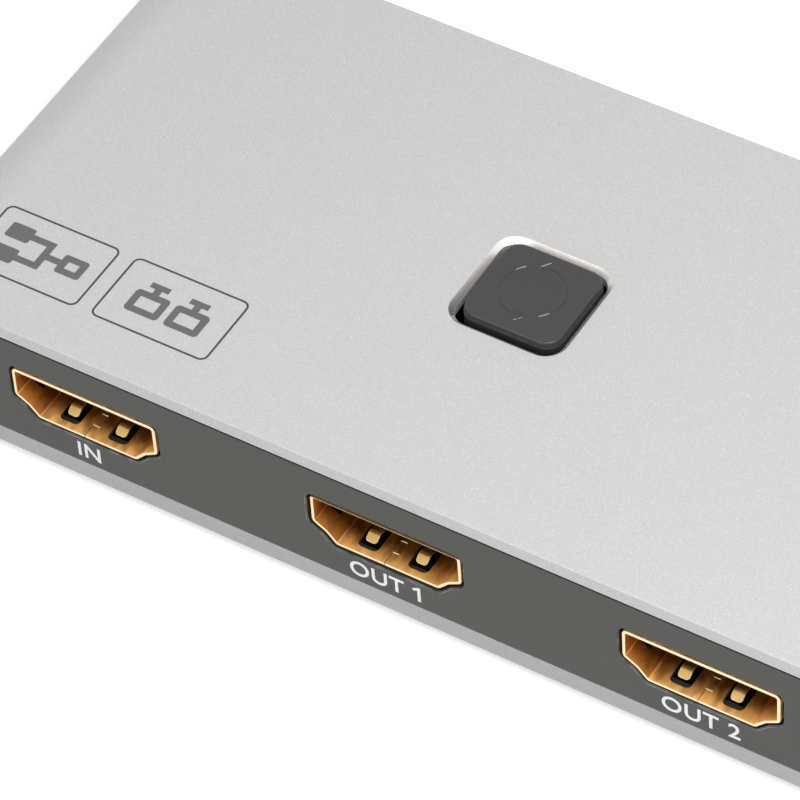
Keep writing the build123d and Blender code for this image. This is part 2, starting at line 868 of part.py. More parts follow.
# Circuit board: its outline, and slots for the legs and terminals that are soldered through it
with BuildPart() as circuit_board:
    with BuildSketch(Plane.XY.offset(board_bottom)):
        RectangleRounded(board_length, board_depth, board_corner_radius)
    extrude(amount=board_thickness)
    with BuildSketch(Plane.XY.offset(board_bottom)):
        for name, x, setback in sockets:
            with Locations((x, case_front + setback + shell_leg_middle)):
                with GridLocations(shell_width - shell_wall, shell_leg_spacing, 2, 2):
                    Rectangle(shell_wall + 2 * leg_slot_gap, shell_leg_width + 2 * leg_slot_gap)
        with Locations((inlet_x, inlet_leg_y)):
            with GridLocations(inlet_width - inlet_wall, inlet_leg_spacing, 2, 2):
                Rectangle(inlet_wall + 2 * leg_slot_gap, inlet_leg_width + 2 * leg_slot_gap)
        with Locations((button_x, button_y)):
            with GridLocations(2 * terminal_x, terminal_spacing, 2, 2):
                Rectangle(terminal_thickness + 2 * leg_slot_gap, terminal_width + 2 * leg_slot_gap)
    extrude(amount=board_thickness, mode=Mode.SUBTRACT)
save(circuit_board, "circuit_board")


def lead_planes(x, y, reach, pitch, count, width, angles):
    """Sketch planes for a chip's leads, one for each lead on each of its given sides."""
    planes = []
    for angle in angles:
        outward = Vector(1, 0).rotate(Axis.Z, angle)
        along = Vector(0, 1).rotate(Axis.Z, angle)
        for shift in steps_about_middle(count, pitch):
            origin = Vector(x, y, board_top) + outward * reach + along * (shift + width / 2)
            planes.append(Plane(origin=origin, x_dir=outward, z_dir=-along))
    return planes


def lead_profile(level):
    """A gull-wing lead seen from its side: out of the chip at the given level, down, and its foot."""
    with BuildSketch() as profile:
        with BuildLine():
            Polyline(
                (0, level),
                (lead_shoulder, level),
                (lead_shoulder + lead_fall, lead_thickness / 2),
                (lead_shoulder + lead_fall + lead_foot, lead_thickness / 2),
            )
        trace(line_width=lead_thickness)
    return profile.sketch


def chip_body(spots, length, width, height):
    """Moulded chip bodies at the given spots, with their top edges broken."""
    with BuildPart() as body:
        with BuildSketch(Plane.XY.offset(board_top + chip_standoff)):
            with Locations(*spots):
                Rectangle(length, width)
        extrude(amount=height)
        chamfer(body.edges().group_by(Axis.Z)[-1], chip_edge_break)
    return body


def chip_leads(spots, reach, pitch, count, width, angles, body_height):
    """The leads of all the chips at the given spots."""
    planes = [
        plane for x, y in spots for plane in lead_planes(x, y, reach, pitch, count, width, angles)
    ]
    profile = lead_profile(chip_standoff + body_height / 2)
    with BuildPart() as leads:
        with BuildSketch(*planes):
            add(profile)
        extrude(amount=width)
    return leads


# Splitter chip, with the heat pad and the finned heat sink on it
contact_foot_end = (case_front + middle_setback + shell_depth + core_gap + heel_depth
                    + contact_heel_gap + contact_thickness + contact_foot)
surge_y = contact_foot_end + surge_from_socket
chip_x = chip_from_socket - socket_pitch
chip_y = surge_y + chip_from_surge
chip_spot = [(chip_x, chip_y)]
chip_top = board_top + chip_standoff + chip_height
save(chip_body(chip_spot, chip_size, chip_size, chip_height), "splitter_chip")
save(chip_leads(chip_spot, chip_size / 2, chip_pitch, chip_leads_per_side, chip_lead_width,
                (0, 90, 180, 270), chip_height), "splitter_chip_leads")

with BuildPart() as heat_pad:
    with BuildSketch(Plane.XY.offset(chip_top)):
        with Locations((chip_x, chip_y)):
            Rectangle(pad_size, pad_size)
    extrude(amount=pad_thickness)
save(heat_pad, "heat_pad")

with BuildPart() as heat_sink:
    with BuildSketch(Plane.XY.offset(chip_top + pad_thickness)):
        with Locations((chip_x, chip_y)):
            Rectangle(sink_size, sink_size)
    extrude(amount=sink_base)
    with BuildSketch(Plane.XY.offset(chip_top + pad_thickness + sink_base)):
        with Locations((chip_x, chip_y)):
            with GridLocations((sink_size - sink_fin_thickness) / (sink_fins - 1), 0, sink_fins, 1):
                Rectangle(sink_fin_thickness, sink_size)
    extrude(amount=sink_height - sink_base)
save(heat_sink, "heat_sink")


# Controller chip and memory chips
controller_x = socket_pitch - controller_from_socket
controller_y = surge_y + controller_from_surge
controller_spot = [(controller_x, controller_y)]
save(chip_body(controller_spot, controller_length, controller_width, controller_height),
     "controller_chip")
save(chip_leads(controller_spot, controller_width / 2, controller_pitch, controller_leads_per_side,
                controller_lead_width, (90, 270), controller_height), "controller_chip_leads")

memory_spots = [
    (x + memory_shift, contact_foot_end + memory_from_socket) for name, x, setback in sockets[1:]
]
save(chip_body(memory_spots, memory_length, memory_width, memory_height), "memory_chips")
save(chip_leads(memory_spots, memory_width / 2, memory_pitch, memory_leads_per_side,
                memory_lead_width, (90, 270), memory_height), "memory_chip_leads")


# Voltage regulator: three leads on one side and a wide tab on the other
regulator_x = inlet_x - regulator_from_inlet
regulator_y = case_back - regulator_from_back
regulator_spot = [(regulator_x, regulator_y)]
save(chip_body(regulator_spot, regulator_length, regulator_width, regulator_height),
     "voltage_regulator")
regulator_planes = lead_planes(regulator_x, regulator_y, regulator_width / 2, regulator_pitch,
                               regulator_lead_count, regulator_lead_width, (270,))
tab_planes = lead_planes(regulator_x, regulator_y, regulator_width / 2, regulator_pitch,
                         1, regulator_tab_width, (90,))
regulator_profile = lead_profile(chip_standoff + regulator_height / 2)
with BuildPart() as regulator_leads:
    with BuildSketch(*regulator_planes):
        add(regulator_profile)
    extrude(amount=regulator_lead_width)
    with BuildSketch(*tab_planes):
        add(regulator_profile)
    extrude(amount=regulator_tab_width)
save(regulator_leads, "regulator_leads")


# Inductor: an octagonal core on two end pads
inductor_x = inlet_x + inductor_from_inlet
inductor_y = case_back - inductor_from_back
with BuildPart() as power_inductor:
    with BuildSketch(Plane.XY.offset(board_top)):
        with Locations((inductor_x, inductor_y)):
            with GridLocations(inductor_size - inductor_pad_width, 0, 2, 1):
                Rectangle(inductor_pad_width, inductor_size / 2)
    extrude(amount=inductor_pad_thickness)
    with BuildSketch(Plane.XY.offset(board_top + inductor_pad_thickness)) as core:
        with Locations((inductor_x, inductor_y)):
            Rectangle(inductor_size, inductor_size)
        chamfer(core.vertices(), inductor_corner)
    extrude(amount=inductor_height)
save(power_inductor, "power_inductor")


# Can capacitors on their plastic bases
can_level = board_top + can_base_height
can_y = case_back - cans_from_back
can_axis_x = [
    inlet_x - cans_from_inlet + shift for shift in steps_about_middle(2, can_spacing)
]
with BuildPart() as can_capacitors:
    for axis_x in can_axis_x:
        can_plane = Plane(origin=(axis_x, can_y, can_level), x_dir=(1, 0, 0), z_dir=(0, -1, 0))
        with BuildSketch(can_plane):
            with Locations((can_radius / 2, can_height / 2)):
                Rectangle(can_radius, can_height)
            with Locations((can_radius, can_groove_level)):
                Circle(can_groove_depth, mode=Mode.SUBTRACT)
        revolve(axis=Axis((axis_x, can_y, 0), (0, 0, 1)))
    fillet(can_capacitors.edges().group_by(Axis.Z)[-1], can_edge_radius)
save(can_capacitors, "can_capacitors")

with BuildPart() as can_bases:
    with BuildSketch(Plane.XY.offset(board_top)) as base:
        with Locations(*[(axis_x, can_y) for axis_x in can_axis_x]):
            Rectangle(can_base_size, can_base_size)
        chamfer(base.vertices().group_by(Axis.Y)[0], can_base_corner)
    extrude(amount=can_base_height)
save(can_bases, "can_bases")


# Clock crystal: a pressed can with rounded ends on its rim
crystal_x = chip_x - crystal_from_chip
crystal_y = chip_y + crystal_shift
with BuildPart() as clock_crystal:
    with BuildSketch(Plane.XY.offset(board_top)):
        with Locations((crystal_x, crystal_y)):
            SlotOverall(crystal_length, crystal_width, rotation=90)
    extrude(amount=crystal_rim_thickness)
    with BuildSketch(Plane.XY.offset(board_top + crystal_rim_thickness)):
        with Locations((crystal_x, crystal_y)):
            SlotOverall(crystal_length - 2 * crystal_rim, crystal_width - 2 * crystal_rim, rotation=90)
    extrude(amount=crystal_height - crystal_rim_thickness)
    fillet(clock_crystal.edges().group_by(Axis.Z)[-1], crystal_edge_radius)
save(clock_crystal, "clock_crystal")


def small_parts(spots, length, width, height, waist):
    """Small two-ended parts at the given spots, each with a waist between its soldered ends."""
    with BuildPart() as parts:
        with BuildSketch(Plane.XY.offset(board_top)):
            with Locations(*spots):
                Rectangle(length, width)
        extrude(amount=height)
        with BuildSketch(Plane.XY.offset(board_top)):
            with Locations(*spots):
                Rectangle(length - 2 * ceramic_end, width)
                Rectangle(length - 2 * ceramic_end, width - 2 * waist, mode=Mode.SUBTRACT)
        extrude(amount=height, mode=Mode.SUBTRACT)
    return parts


# Surge arrays behind the sockets
surge_spots = [
    (x + shift, surge_y)
    for name, x, setback in sockets
    for shift in steps_about_middle(2, surge_spacing)
]
save(chip_body(surge_spots, surge_length, surge_width, surge_height), "surge_arrays")

# Ceramic capacitors beside the splitter chip and resistors beside the controller
ceramic_spots = [
    (chip_x + shift, chip_y + side * ceramic_from_chip)
    for shift in steps_about_middle(ceramics_per_side, ceramic_spacing)
    for side in (-1, 1)
]
save(small_parts(ceramic_spots, ceramic_length, ceramic_width, ceramic_height, small_part_waist),
     "ceramic_capacitors")
resistor_spots = [
    (controller_x + shift, controller_y + side * resistor_from_controller)
    for shift in steps_about_middle(resistors_per_side, resistor_spacing)
    for side in (-1, 1)
]
save(small_parts(resistor_spots, resistor_length, resistor_width, resistor_height, small_part_waist),
     "resistors")


# Indicator lamps on the board, and the bent light pipes that lead to the power panel
lamp_y = case_back - lamp_from_back
indicator_x = steps_about_middle(indicator_count, indicator_spacing)
with BuildPart() as indicator_lamps:
    with BuildSketch(Plane.XY.offset(board_top)):
        with Locations(*[(x, lamp_y) for x in indicator_x]):
            Rectangle(lamp_length, lamp_width)
    extrude(amount=lamp_height)
    with BuildSketch(Plane.XY.offset(board_top + lamp_height)):
        with Locations(*[(x, lamp_y) for x in indicator_x]):
            Rectangle(lamp_length - 2 * lamp_lens_inset, lamp_width)
    extrude(amount=lamp_lens_height)
save(indicator_lamps, "indicator_lamps")

pipe_foot = board_top + lamp_height + lamp_lens_height + pipe_lamp_gap
with BuildPart() as light_pipes:
    for x in indicator_x:
        with BuildLine() as route:
            FilletPolyline(
                (x, case_back - pipe_setback, pipe_level),
                (x, lamp_y, pipe_level),
                (x, lamp_y, pipe_foot),
                radius=pipe_bend,
            )
        with BuildSketch(facing_front(case_back - pipe_setback)):
            with Locations((x, pipe_level)):
                Circle(pipe_radius)
        sweep(path=route.line)
    with BuildSketch(facing_front(case_back - panel_thickness - panel_seam)):
        with Locations(*[(x, pipe_level) for x in indicator_x]):
            Circle(pipe_collar_radius)
    extrude(amount=pipe_collar_thickness)
save(light_pipes, "light_pipes")
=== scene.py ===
"""A one-in, two-out video splitter, dressed piece by piece round its packed model."""

import json
import math
from types import SimpleNamespace

import bmesh
import bpy
from mathutils import Matrix, Vector

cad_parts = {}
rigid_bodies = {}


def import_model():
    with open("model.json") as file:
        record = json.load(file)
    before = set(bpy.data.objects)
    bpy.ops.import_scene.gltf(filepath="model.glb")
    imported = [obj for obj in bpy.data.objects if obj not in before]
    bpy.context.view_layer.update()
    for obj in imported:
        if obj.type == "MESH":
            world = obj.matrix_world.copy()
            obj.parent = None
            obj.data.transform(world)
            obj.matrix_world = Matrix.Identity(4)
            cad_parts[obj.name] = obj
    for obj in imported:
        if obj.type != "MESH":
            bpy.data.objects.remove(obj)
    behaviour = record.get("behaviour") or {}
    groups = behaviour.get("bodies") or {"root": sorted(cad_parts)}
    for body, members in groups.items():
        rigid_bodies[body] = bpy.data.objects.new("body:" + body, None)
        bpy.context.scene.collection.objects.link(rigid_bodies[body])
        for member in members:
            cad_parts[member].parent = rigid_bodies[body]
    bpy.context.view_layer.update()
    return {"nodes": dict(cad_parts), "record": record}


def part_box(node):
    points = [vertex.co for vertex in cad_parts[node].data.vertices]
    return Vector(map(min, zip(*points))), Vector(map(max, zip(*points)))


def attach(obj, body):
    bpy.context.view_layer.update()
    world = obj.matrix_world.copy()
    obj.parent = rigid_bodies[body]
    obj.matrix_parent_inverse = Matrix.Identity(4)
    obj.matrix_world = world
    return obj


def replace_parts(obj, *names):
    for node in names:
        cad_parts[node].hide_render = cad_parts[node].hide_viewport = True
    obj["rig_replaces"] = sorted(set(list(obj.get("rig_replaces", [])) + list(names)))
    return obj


bl_info = {
    "name": "Video Splitter",
    "version": (1, 0, 0),
    "blender": (4, 5, 0),
    "location": "View3D > Sidebar > Splitter",
    "description": "Builds a one-in, two-out video splitter from its separate pieces",
    "category": "Object",
}

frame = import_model()

# Shapes are drawn in millimetres, and finished pieces are in metres
MM = 0.001

# How a flat drawing (x, y, depth) is stood up: lying flat, or facing the front
LYING = Matrix.Identity(4)
FACING_FRONT = Matrix(((1, 0, 0, 0), (0, 0, 1, 0), (0, 1, 0, 0), (0, 0, 0, 1)))

# How far a cutting tool runs past what it cuts, the same for a thin chamfer, and its reach
# through a panel
PAST = 1
JUST_PAST = 0.01
THROUGH_PANEL = 4

# Corners closer than this are merged, and a rounded corner is never tighter than this
MERGED = 0.0005
TIGHTEST = 0.05

# What the radius of a half-round end falls short of half its width, so that its arcs don't meet
SHORT_OF_ROUND = 0.03

# The engraved arrows in degrees: where each starts, how far it runs, and how its barbs lean
ARROW_STARTS = (130, 310)
ARROW_SWEEP = 156
BARB_LEANS = (-36, 36)

# Rounding left on the edges of each kind of piece
SOFT = {"panel": 0.02, "screw": 0.025, "shell": 0.05, "finger": 0.04, "button": 0.012,
        "inlet": 0.06, "pipe": 0.05}

# The sockets' shells: share of the lip's edge with a painted highlight, reach of a fold's painted
# highlight, share of the sheet that a leg keeps, and the burrs at the seam
LIP_HIGHLIGHT_SHARE = 0.35
FOLD_HIGHLIGHT_REACH = 0.1
LEG_SHARE = 0.98
BURR_WIDTH, BURR_SUNK, BURR_HEIGHT, BURR_SOFT = 0.14, 0.02, 0.05, 0.03

# Fine sizes of the screws: thread, tip, edge of the head and corners of the cross recess
THREAD_PITCH = 0.45
THREAD_DEPTH = 0.16
TIP_NARROWING = 0.3
HEAD_EDGE = (0.06, 0.05)
RECESS_CORNER = 0.12

# Fine sizes of the button: the step's inner corner and the hollow's corners
STEP_SOFT = 0.05
HOLLOW_CORNER = 0.4

# The font: height of its capitals as a share of its size, and room between letters
CAPITAL_SHARE = 0.69
LETTER_SPACE = 1.06

# Painted light and shade, in millimetres: levels over which the painted shade on the sleeve's ends
# fades, the hole's left chamfer with painted shade from its front to its rear, and the sockets'
# mouths with painted light from the lip inwards
END_SHADE_LEVELS = (2, 15)
CHAMFER_LEFT = -4.8
CHAMFER_SHADE_RUN = (-4.5, 3.5)
MOUTH_RUN = (-24.6, -22.4)

# Tones that wear, milling, tin, painted highlights, painted glints and painted shade give to the
# finishes
PANEL_RIM_WEAR_AND_GLINT = (0.3, 0.3, 0.29)
BUTTON_RUBBED = (0.12, 0.12, 0.115)
MILLED_DARK = (0.86, 0.82, 0.78)
MILLED_LIGHT = (0.94, 0.91, 0.88)
GOLD_MOUTH_LIGHT = (1, 0.69, 0.26)
GOLD_FLANK_SHADE = (0.5, 0.18, 0.02)
GOLD_FOLD_HIGHLIGHT = (1, 0.6, 0.2)
GOLD_SPRING = (0.68, 0.49, 0.19)
GOLD_SHADED = (0.12, 0.07, 0.03)
GOLD_RIM_HIGHLIGHT = (0.86, 0.74, 0.54)
TINNED_SPOT = (0.55, 0.54, 0.5)
SHADE_BLACK = (0, 0, 0)

# The lamps: name, place, size and power
LAMPS = (("key", (0.145, -0.09, 0.29), 0.2, 0.9), ("front", (-0.35, -0.9, 0.25), 0.6, 2.9))

# Where the camera aims, in millimetres
AIM = (-5.526, -12.823, 12.692)


def length(name, millimetres, description):
    """A size that the sidebar shows as a length."""
    return bpy.props.FloatProperty(name=name, description=description, default=millimetres * MM,
                                   min=0, precision=5, unit="LENGTH")


def colour(name, default, description):
    """A linear colour that the sidebar shows as a swatch."""
    return bpy.props.FloatVectorProperty(name=name, description=description, default=default,
                                         size=3, min=0, max=1, subtype="COLOR")


def angular(name, degrees, description):
    """An angle that the sidebar shows in degrees."""
    return bpy.props.FloatProperty(name=name, description=description,
                                   default=math.radians(degrees), subtype="ANGLE")


def scene_group(name):
    """One of the add-on's property groups."""
    return getattr(bpy.context.scene, f"splitter_{name}")


def sizes(name):
    """The lengths of one property group as plain numbers in millimetres."""
    group = scene_group(name)
    return SimpleNamespace(**{size: getattr(group, size) / MM for size in group.__annotations__})


def extent(node):
    """Lowest and highest corner of a node of the packed model, in millimetres."""
    low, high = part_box(node)
    return low / MM, high / MM


# Sizes that a user would change

class SPLITTER_PG_sleeve(bpy.types.PropertyGroup):
    """Sizes of the drawn sleeve"""
    corner: length("Corner", 6.8, "Radius of the rounded long sides")
    side_wall: length("Side wall", 1.6, "Thickness at the rounded sides")
    top_wall: length("Top wall", 1.38, "Thickness of the top")
    bottom_wall: length("Bottom wall", 1.95, "Thickness of the bottom")
    end_break: length("End break", 0.07, "Chamfer round the two open ends")
    hole: length("Button hole", 10.4, "Width of the square hole for the button")
    hole_forward: length("Hole forward", 0.17, "How far the hole lies in front of the middle")
    hole_corner: length("Hole corner", 1.65, "Corner radius of the button hole")
    hole_chamfer: length("Hole chamfer", 0.5, "Chamfer round the button hole")
    edge_soft: length("Edge softness", 0.035, "Rounding left on the cut edges")
    rail_reach: length("Rail reach", 3.2, "How far the board rails stand in from the side wall")
    rail_thick: length("Rail thickness", 0.9, "Thickness of the rails over the board")
    rail_play: length("Rail play", 0.04, "Play between the board and the rail under it")
    root: length("Root", 0.16, "How deep rails and webs are let into the side wall")
    boss_radius: length("Boss radius", 1.75, "Radius of the screw bosses")
    boss_bore: length("Boss bore", 0.99, "Radius of the hole in a screw boss")
    boss_web: length("Boss web", 1.4, "Thickness of the web that carries a boss")
    boss_slot: length("Boss slot", 0.9, "Width of the slot along a boss")
    slot_start: length("Slot start", 0.2, "Where the slot starts beyond the boss's middle")


class SPLITTER_PG_panel(bpy.types.PropertyGroup):
    """Sizes of the two end panels"""
    corner: length("Corner", 5.08, "Radius of a panel's rounded long sides")
    edge_break: length("Edge break", 0.1, "Chamfer round a panel and its cut-outs")
    inner_break: length("Inner edge break", 0.03, "Chamfer round a panel's hidden side")
    cutout_gap: length("Cut-out gap", 0.29, "Gap between a socket and its cut-out")
    inlet_gap: length("Inlet gap", 0.28, "Gap between the power inlet and its cut-out")
    screw_hole: length("Screw hole", 1.1, "Radius of the screw holes")
    screw_seat: length("Screw seat", 2.05, "Radius of the countersinks")
    screw_head: length("Screw head", 1.9, "Radius of the screw heads")
    screw_shank: length("Screw shank", 0.95, "Radius of the screw shanks")
    recess_span: length("Recess span", 1.9, "Length of the cross recess")
    recess_width: length("Recess width", 0.5, "Width of the cross recess")
    recess_depth: length("Recess depth", 0.6, "Depth of the cross recess")


class SPLITTER_PG_socket(bpy.types.PropertyGroup):
    """Sizes of a video socket"""
    width: length("Width", 14.64, "Outer width of the shell")
    height: length("Height", 5.24, "Outer height of the shell")
    wall: length("Wall", 0.3, "Thickness of the folded sheet")
    depth: length("Depth", 11.0, "Depth of the shell")
    shoulder: length("Shoulder", 1.92, "Height where the upright sides end")
    shoulder_run: length("Shoulder run", 1.3, "How far the shoulder steps in")
    shoulder_drop: length("Shoulder drop", 0.8, "How far the shoulder steps down")
    base: length("Base", 10.0, "Width of the floor")
    corner: length("Corner", 0.52, "Bend radius of the sheet")
    lip: length("Lip", 0.07, "Rounding of the front edge")
    window_spacing: length("Window spacing", 4.9, "Distance between the finger windows")
    window_width: length("Window width", 2.0, "Width of a finger window")
    window_start: length("Window start", 0.65, "Where a finger window starts behind the lip")
    window_length: length("Window length", 6.2, "Length of a finger window")
    window_corner: length("Window corner", 0.5, "Corner radius of a finger window")
    finger_width: length("Finger width", 1.1, "Width of a spring finger")
    finger_sheet: length("Finger sheet", 0.25, "Thickness of a spring finger")
    finger_root: length("Finger root", 0.35, "How far a finger runs on beside its window")
    finger_bend: length("Finger bend", 0.22, "Bend radius of a finger")
    finger_corner: length("Finger corner", 0.3, "Corner radius of a finger's tip")
    finger_tip: length("Finger tip", 1.4, "Where a finger's tip lies behind the lip")
    finger_peak: length("Finger peak", 2.2, "Where a finger is bent most")
    tip_rise: length("Tip rise", 0.12, "How far the tip stands in")
    peak_rise: length("Peak rise", 0.62, "How far the bend stands in")
    side_start: length("Side window start", 2.05, "Where the side windows start behind the lip")
    side_length: length("Side window length", 2.7, "Length of the side windows")
    side_inner: length("Side window reach", 5.79, "How far in the side windows reach")
    side_low: length("Side window bottom", 1.07, "Lower edge of the side windows")
    side_high: length("Side window top", 2.47, "Upper edge of the side windows")
    side_corner: length("Side window corner", 0.15, "Corner radius of the side windows")
    seam: length("Seam", 0.06, "Width of the folded seam")
    seam_shift: length("Seam shift", 0.3, "How far the seam lies left of the middle")
    seam_tab: length("Seam tab", 0.6, "Width of the seam's dovetail")
    seam_flare: length("Seam flare", 0.12, "Slope of the dovetail's sides")
    seam_start: length("Seam start", 1.42, "Where the dovetail starts behind the lip")
    seam_end: length("Seam end", 2.83, "Where the dovetail ends behind the lip")
    leg_width: length("Leg width", 1.5, "Width of a board leg")
    leg_spacing: length("Leg spacing", 3.4, "Distance between the legs on one side")
    leg_middle: length("Leg middle", 8.0, "Middle of the legs behind the lip")
    leg_top: length("Leg top", 0.9, "How far the legs reach up past the shoulder")
    leg_corner: length("Leg corner", 0.08, "Rounding of a leg's edges and foot")


class SPLITTER_PG_button(bpy.types.PropertyGroup):
    """Sizes of the button cap"""
    corner: length("Corner", 1.45, "Corner radius of the pressed face")
    step: length("Step", 0.12, "Width of the step round the cap")
    rise: length("Rise", 0.6, "Height of the face over the step")
    crown: length("Crown", 0.16, "Rounding of the face's edge")
    skirt: length("Skirt", 1.1, "Thickness of the skirt")
    boss: length("Boss", 2.9, "Radius of the boss over the plunger")
    roof: length("Roof", 2.22, "Thickness of the cap over its hollow")
    bore: length("Bore", 1.73, "Radius of the boss's bore")
    ring: length("Ring", 2.95, "Radius of the engraved ring of arrows")
    ring_shift: length("Ring shift", 0.12, "How far the ring sits left and rear of the middle")
    ring_width: length("Ring width", 0.17, "Width of the engraved line")
    ring_depth: length("Ring depth", 0.06, "Depth of the engraved line")
    barb: length("Barb", 0.95, "Length of an arrow's barbs")


class SPLITTER_PG_feet(bpy.types.PropertyGroup):
    """Sizes of the rubber feet"""
    radius: length("Radius", 4.0, "Radius of a foot")
    ring: length("Ring", 1.1, "Width of the ring that a foot stands on, with its slope")
    slope: length("Slope", 0.15, "Width of the slope inside the ring")
    hollow: length("Hollow", 0.12, "Depth of the hollow within the ring")
    rounding: length("Rounding", 0.3, "Rounding of the outer edge")


class SPLITTER_PG_inlet(bpy.types.PropertyGroup):
    """Sizes of the power inlet's shell"""
    height: length("Height", 3.2, "Outer height of the shell")
    wall: length("Wall", 0.3, "Thickness of the folded sheet")
    leg_width: length("Leg width", 1.1, "Width of a board leg")
    leg_spacing: length("Leg spacing", 3.6, "Distance between the legs on one side")
    leg_middle: length("Leg middle", 4.2, "Middle of the legs behind the mouth")


class SPLITTER_PG_pipes(bpy.types.PropertyGroup):
    """Sizes of the light pipes"""
    radius: length("Radius", 1.0, "Radius of a pipe")
    gap: length("Gap", 0.02, "Gap between a pipe and the panel")
    bend: length("Bend", 1.6, "Radius of the bend down to the lamp")
    collar: length("Collar", 1.5, "Radius of the collar behind the panel")
    collar_length: length("Collar length", 0.8, "Length of the collar")
    collar_soft: length("Collar softness", 0.06, "Rounding of the collar's edges")


class SPLITTER_PG_marks(bpy.types.PropertyGroup):
    """Sizes of the printed marks"""
    letter_height: length("Letter height", 1.7, "Height of the letters under the sockets")
    letter_level: length("Letter level", 3.8, "Level of the letters' feet over the table")
    letter_weight: length("Letter weight", 0.03, "How much the strokes are thickened")
    ink: length("Ink", 0.015, "Thickness of the print")
    badge_front: length("Badge front", 4.9, "Distance of the badges from the front")
    badge_depth: length("Badge depth", 7.6, "Size of a badge from front to back")
    badge_width: length("Badge width", 11.7, "Width of a badge")
    badge_first: length("First badge", 26.15, "Middle of the nearer badge, left of the middle")
    badge_second: length("Second badge", 39.32, "Middle of the farther badge, left of the middle")
    badge_corner: length("Badge corner", 0.75, "Corner radius of a badge")
    badge_line: length("Badge line", 0.19, "Width of a badge's frame")
    stroke: length("Stroke", 0.68, "Width of the picture's strokes")


class SPLITTER_PG_colours(bpy.types.PropertyGroup):
    """Colours of the finishes"""
    sleeve: colour("Sleeve", (0.575, 0.575, 0.575), "Anodised aluminium")
    panel: colour("Panels", (0.0355, 0.0355, 0.0325), "End panels")
    button: colour("Button", (0.036, 0.036, 0.035), "Button cap")
    gold: colour("Gold", (1.0, 0.46, 0.1), "Plated socket shells")
    letters: colour("Letters", (0.86, 0.86, 0.85), "Print under the sockets")
    badge: colour("Badge frames", (0.05, 0.05, 0.05), "Frames printed on the top")
    picture: colour("Badge pictures", (0.125, 0.125, 0.125), "Pictures printed on the top")
    board: colour("Board", (0.011, 0.012, 0.012), "Solder mask")


class SPLITTER_PG_stage(bpy.types.PropertyGroup):
    """The camera and the light"""
    azimuth: angular("Azimuth", 34.496, "Direction of the camera round the splitter")
    elevation: angular("Elevation", 48.035, "Height of the camera as an angle")
    roll: angular("Roll", -4.401, "Tilt of the camera about its own axis")
    distance: length("Distance", 441.117, "Distance from the camera to its aim")
    lens: bpy.props.FloatProperty(
        name="Lens", description="Focal length of the camera in millimetres",
        default=235.476, min=1, subtype="NONE")
    daylight: bpy.props.FloatProperty(
        name="Daylight", description="Strength of the even light from all round",
        default=0.39, min=0, subtype="FACTOR")


SETTINGS = {
    "splitter_sleeve": SPLITTER_PG_sleeve,
    "splitter_panel": SPLITTER_PG_panel,
    "splitter_socket": SPLITTER_PG_socket,
    "splitter_button": SPLITTER_PG_button,
    "splitter_feet": SPLITTER_PG_feet,
    "splitter_inlet": SPLITTER_PG_inlet,
    "splitter_pipes": SPLITTER_PG_pipes,
    "splitter_marks": SPLITTER_PG_marks,
    "splitter_colours": SPLITTER_PG_colours,
    "splitter_stage": SPLITTER_PG_stage,
}


# Drawing and shaping

def mesh_from(bm):
    """Close a working mesh: faces turned outwards, and kept as a plain mesh."""
    bmesh.ops.recalc_face_normals(bm, faces=bm.faces)
    mesh = bpy.data.meshes.new("shape")
    bm.to_mesh(mesh)
    bm.free()
    return mesh


def working_copy(mesh):
    """Open a mesh for more work, and drop the old one."""
    bm = bmesh.new()
    bm.from_mesh(mesh)
    bpy.data.meshes.remove(mesh)
    return bm


def box_corners(width, height, centre=(0, 0)):
    """Corners of a rectangle about a centre."""
    x, y = centre
    across, up = width / 2, height / 2
    return [(x - across, y - up), (x + across, y - up), (x + across, y + up), (x - across, y + up)]


def of_kind(geometry, kind):
    """The items of one kind among what an operator made."""
    return [item for item in geometry if isinstance(item, kind)]


def bevelled(bm, geometry, reach, steps, affect="EDGES", clamp=False):
    """Round edges or corners of a working mesh."""
    return bmesh.ops.bevel(bm, geom=geometry, offset=reach, segments=steps, profile=0.5,
                           affect=affect, clamp_overlap=clamp, material=-1)


def merged(bm):
    """Merge the corners that lie in one place."""
    bmesh.ops.remove_doubles(bm, verts=bm.verts, dist=MERGED)


def drawn_face(bm, corners, radii, steps):
    """One flat face through the corners, each rounded to its radius."""
    verts = [bm.verts.new((x, y, 0)) for x, y in corners]
    bm.faces.new(verts)
    for vert, radius in zip(verts, radii):
        if radius:
            reach = radius * math.tan(vert.calc_edge_angle() / 2)
            bevelled(bm, [vert], reach, steps, "VERTICES")
    bm.faces.ensure_lookup_table()
    return bm.faces[0]


def pushed(bm, face, way):
    """Extrude a face along a vector and return the new face. A face in a skin leaves no copy."""
    in_skin = all(len(edge.link_faces) > 1 for edge in face.edges)
    made = bmesh.ops.extrude_face_region(bm, geom=[face])["geom"]
    if in_skin:
        bmesh.ops.delete(bm, geom=[face], context="FACES_ONLY")
    bmesh.ops.translate(bm, verts=of_kind(made, bmesh.types.BMVert), vec=way)
    return of_kind(made, bmesh.types.BMFace)[0]


def prism(corners, radii, start, end, plane=LYING, steps=6, rims=(0, 0)):
    """A rounded outline extruded from start to end, with its two rims rounded."""
    bm = bmesh.new()
    near = drawn_face(bm, corners, radii, steps)
    bmesh.ops.translate(bm, verts=bm.verts, vec=(0, 0, start))
    far = pushed(bm, near, (0, 0, end - start))
    for face, reach in zip((near, far), rims):
        if reach:
            bevelled(bm, list(face.edges), reach, 3)
    bmesh.ops.transform(bm, matrix=plane, verts=bm.verts)
    return mesh_from(bm)


def block(width, height, start, end, centre=(0, 0), radius=0, plane=LYING, steps=6, rims=(0, 0)):
    """A box, or a rounded one, about a centre line."""
    return prism(box_corners(width, height, centre), [radius] * 4, start, end, plane, steps, rims)


